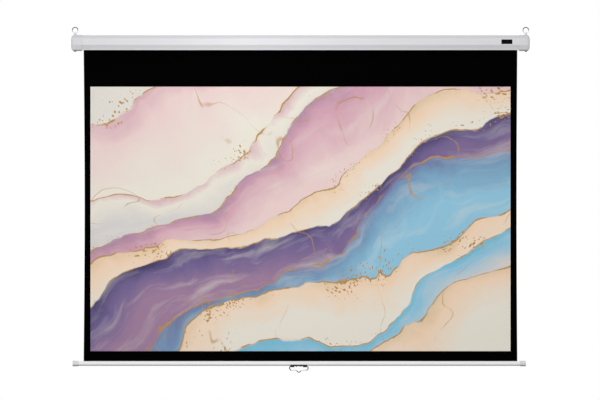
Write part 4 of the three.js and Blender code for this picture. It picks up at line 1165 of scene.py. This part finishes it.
def below(outline, height):
    """The part of a closed outline under a height."""
    kept = []
    for i, here in enumerate(outline):
        before = outline[i - 1]
        if (before.y > height) != (here.y > height):
            share = (height - before.y) / (here.y - before.y)
            kept.append(before.lerp(here, share))
        if here.y <= height:
            kept.append(here)
    return kept


def bar_section():
    """The outline, which runs round the pocket too, and the hollow."""
    outline = bar_outline(0)
    half_slot = HEM_SLOT / 2
    opening = asin(half_slot / POCKET_RADIUS)
    sweep = 2 * pi - 2 * opening
    pocket = arc(POCKET_RADIUS, pi / 2 - opening, -sweep, SMALL_SIDES, Vector((0, -HEM_DROP)))
    mouth = [Vector((half_slot, 0)), *pocket, Vector((-half_slot, 0))]
    last = -BEND_FACETS - 1
    top = -HEM_DROP - POCKET_RADIUS - POCKET_WALL
    return [outline[:last] + mouth + outline[last:], below(bar_outline(-BAR_WALL), top)]


bar_lines = [[p.to_3d() for p in outline] for outline in bar_section()]
bar_mesh = grown(
    extrusion_tree(), lines_mesh(*bar_lines, closed=True), BAR_PAINT, {"Bar length": 2 * BAR_HALF}
)
moved(bar_mesh, BAR_SHIFT, SHEET_Y, BAR_TOP)
BAR_BOTTOM = bar_low.z
screw_bore = HANDLE_SCREW["Shank radius"] + SEAT_GAP
bore_ends = (BAR_BOTTOM - OVERRUN, BAR_BOTTOM + BAR_WALL + OVERRUN)
screw_places = [HANDLE_X + side * SCREW_OFFSET for side in (-1, 1)]
bar_holes = [rod(screw_bore, *bore_ends, x=x, y=SHEET_Y) for x in screw_places]
piece("bar_body", cut(bar_mesh, *bar_holes), "bar", BAR_PAINT, ["weight_bar"])


def bar_cap_mesh():
    """A cap over the bar's right end, its tip rounded over."""
    wall = SEAT_GAP + BAR_CAP_WALL
    middle = Vector((wall - BAR_CAP_EASE, BAR_CAP_END - BAR_CAP_EASE))
    profile = [(wall - CAP_EASE, -BAR_CAP_SLEEVE), (wall, -BAR_CAP_SLEEVE + CAP_EASE)]
    profile += arc(BAR_CAP_EASE, 0, pi / 2, BEND_FACETS, middle)
    rings = [ring_at(x, bar_outline(growth)) for growth, x in profile]
    mouth = along_x(bar_outline(SEAT_GAP), -BAR_CAP_SLEEVE - OVERRUN, SEAT_GAP)
    return moved(cut(skinned(rings), mouth), BAR_HALF, SHEET_Y, BAR_TOP)


pair("bar_end", "bar_cap", bar_cap_mesh(), BAR_SHIFT, "bar", BAR_CAP_PLASTIC)


def bracket_mesh():
    """The saddle round the bar, with a lug at each end."""
    half = SADDLE_WIDTH / 2
    lug_bottom = -PIVOT_DROP - BAIL_WIRE - SEAT_GAP - LUG_WALL
    wrap = bar_outline(SEAT_GAP + SADDLE_WALL, BAR_HEIGHT / 2)
    room = bar_outline(SEAT_GAP, BAR_HEIGHT / 2)
    above = 2 * BAR_HEIGHT
    top = oblong(2 * BAR_DEPTH, above, 0, SADDLE_RISE + above / 2)
    outer = half + OVERRUN
    height = SADDLE_RISE - lug_bottom
    lug = rounded(oblong(LUG_DEPTH, height, 0, lug_bottom + height / 2), LUG_CORNER)
    lugs = [along_x(lug, start, start + LUG_WIDTH) for start in (-half, half - LUG_WIDTH)]
    solid = joined(along_x(wrap, -half, half), *lugs)
    bore = circle(BAIL_WIRE + SEAT_GAP, SMALL_SIDES, 0, -PIVOT_DROP)
    inner = half - BAIL_IN_LUG - SEAT_GAP
    play = BAIL_X - HANDLE_X
    holes = [along_x(room, -outer, outer), along_x(top, -outer, outer)]
    for side in (-1, 1):
        start, end = sorted((side * inner + play, side * outer))
        holes.append(along_x(bore, start, end))
        holes.append(rod(screw_bore, lug_bottom, OVERRUN, x=side * SCREW_OFFSET))
    return moved(cut(solid, *holes), HANDLE_X, SHEET_Y, BAR_BOTTOM)


ease = {"width": HANDLE_EASE, "segments": 2, "limit_method": "ANGLE", "angle_limit": EASE_ANGLE}
saddle = modified(bracket_mesh(), ("BEVEL", ease))
piece("handle_saddle", saddle, "bar", BLACK_PLASTIC, ["handle_bracket"])

# Bail
lug_face = SADDLE_WIDTH / 2
bail_side = [
    (lug_face - BAIL_IN_LUG, 0),
    (lug_face + BAIL_SHOULDER, 0),
    (BAIL_HALF, -BAIL_DROP / 2),
    (BAIL_HALF * FOOT_SHARE, -BAIL_DROP),
    (NOTCH_HALF, -BAIL_DROP),
]
bail_route = [(-x, z) for x, z in bail_side] + [(0, -NOTCH_DROP)] + bail_side[::-1]
bail_line = [(BAIL_X + x, SHEET_Y, BAR_BOTTOM - PIVOT_DROP + z) for x, z in bail_route]
bail_mesh = grown(wire_tree, lines_mesh(bail_line), BAIL_CHROME, {
    "Wire radius": BAIL_WIRE, "Bend radius": BAIL_BEND, "Facets": BEND_FACETS,
})
piece("bail_wire", bail_mesh, "bail", BAIL_CHROME, ["handle_bail"])

# Torsion spring
spring_low, spring_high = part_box("torsion_spring")
spring_mesh = grown(coil_tree(), lines_mesh(), SPRING_STEEL, {
    "Wire radius": SPRING_WIRE, "Coil radius": (spring_high.z - spring_low.z) / 2 - SPRING_WIRE,
    "Coil length": spring_high.x - spring_low.x - 2 * SPRING_WIRE, "Turns": SPRING_TURNS,
})
moved(spring_mesh, spring_low.x + SPRING_WIRE, 0, AXIS_HEIGHT)
piece("spring_coil", spring_mesh, "root", SPRING_STEEL, ["torsion_spring"])

# Finishes of the CAD nodes that stay
SIDES = ("left", "right")
LEVELS = ("upper", "lower")
KEPT_NODES = (
    (ZINC, [f"{name}_{side}" for name in ("end_bracket", "eye_washer", "eye_nut") for side in SIDES]),
    (ZINC, ["roller_tube", "idler_pin", "spring_shaft", "ratchet_hub"]),
    (ZINC, [f"pawl_rivet_{level}" for level in LEVELS]),
    (DARK_STEEL, [f"pawl_{level}" for level in LEVELS]),
    (NYLON, ["idler_plug", "idler_spacer", "spring_plug", "hem_rod"]),
    (BLACK_PLASTIC, ["spring_anchor"]),
)
for material, names in KEPT_NODES:
    for name in names:
        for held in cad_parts[name].material_slots:
            held.material = material

# Stage: a pale floor, which fades into the background
FLOOR_HEIGHT = -2.35
FLOOR_RADIUS = 6
FLOOR_FADE = (2.1, 5.7)
FLOOR_GLOW = 0.42


def staged(name, points, faces, finish):
    """A mesh around the screen that is no part of it."""
    mesh = bpy.data.meshes.new(name)
    mesh.from_pydata(points, [], faces)
    mesh.materials.append(finish.material)
    made = placed(name, mesh)
    return made


paint = Finish("floor_paint", roughness=0.95, specular=0)
in_view = paint.looked_at()
distance = paint.vectors("LENGTH", paint.place)["Value"]
fade = paint.within(distance, *FLOOR_FADE)
shown = paint.mixed(fade, paint.mixed(paint.noise(3), grey(0.84), grey(0.88)), grey(0))
paint.give("Base Color", paint.mixed(in_view, grey(0.36), shown))
paint.give("Emission Color", grey(1))
paint.give("Emission Strength", paint.times(paint.within(fade, 0, 1, FLOOR_GLOW, 1), in_view))
rim = circle(FLOOR_RADIUS, SMALL_SIDES)
staged("floor", [(p.x, p.y, FLOOR_HEIGHT) for p in rim], [range(SMALL_SIDES)], paint)

# A dark cloth round the studio, which only gloss and bright metal show
CLOTH_RADIUS = 9
CLOTH_MIDDLE = -0.9
FRONT_RISE = 1.6
SIDE_RISE = 6.5
CLOTH_POWER = 4
CLOTH_STEPS = 48
cloth_points, cloth_faces = [], []
for k in range(CLOTH_STEPS):
    angle = 2 * pi * k / CLOTH_STEPS
    rise = FRONT_RISE + SIDE_RISE * sin(angle) ** CLOTH_POWER
    x, y = CLOTH_RADIUS * sin(angle), CLOTH_RADIUS * cos(angle)
    cloth_points += [(x, y, CLOTH_MIDDLE - rise), (x, y, CLOTH_MIDDLE + rise)]
    here, after = 2 * k, 2 * ((k + 1) % CLOTH_STEPS)
    cloth_faces.append((here, after, after + 1, here + 1))
dye = Finish("dark_cloth", roughness=1, specular=0)
dye.give("Base Color", dye.mixed(dye.noise(2), (18, 18, 19), (34, 34, 36)))
cloth = staged("dark_cloth", cloth_points, cloth_faces, dye)
for ray in ("camera", "diffuse", "transmission", "volume_scatter", "shadow"):
    setattr(cloth, f"visible_{ray}", False)

# Light: an even white room, and a wide soft lamp on each side
ROOM_LIGHT = 0.47
world = bpy.data.worlds.new("room")
scene.world = world
world.use_nodes = True
room = Nodes(world.node_tree)
sky = room.tree.nodes["Background"].inputs
room.feed(sky["Color"], grey(1))
room.feed(sky["Strength"], room.within(room.looked_at(), 0, 1, ROOM_LIGHT, 1))


def lit(name, kind, energy, tilt=0, turn=0, **settings):
    data = bpy.data.lights.new(name, kind)
    data.energy = energy
    for key, value in settings.items():
        setattr(data, key, value)
    made = placed(name, data)
    made.rotation_euler = (radians(90 - tilt), 0, radians(turn))
    return made


lit("front_lamp", "SUN", 0.6, 5, angle=radians(40))
lit("rear_lamp", "SUN", 1.0, 12, 180, angle=radians(40))
lit("left_lamp", "SUN", 0.9, 8, -72, angle=radians(60))
lit("right_lamp", "SUN", 0.5, 8, 72, angle=radians(60))

# A tall soft box a little to the left, and a small one whose sheen lies on the case
TALL_BOX = {"size": 0.6, "size_y": 2.6}
TALL_BOX_AT = (-0.35, -3.2, -0.85)
CASE_BOX = {"size": 0.15, "size_y": 0.3}
CASE_BOX_AT = (-0.27, -0.7, -0.03)
tall_box = lit("tall_box", "AREA", 24, shape="RECTANGLE", **TALL_BOX)
tall_box.location = TALL_BOX_AT
case_box = lit("case_box", "AREA", 0.7, shape="RECTANGLE", **CASE_BOX)
case_box.location = CASE_BOX_AT
tall_box.visible_camera = case_box.visible_camera = tall_box.visible_glossy = False

scene.view_settings.view_transform = "Standard"
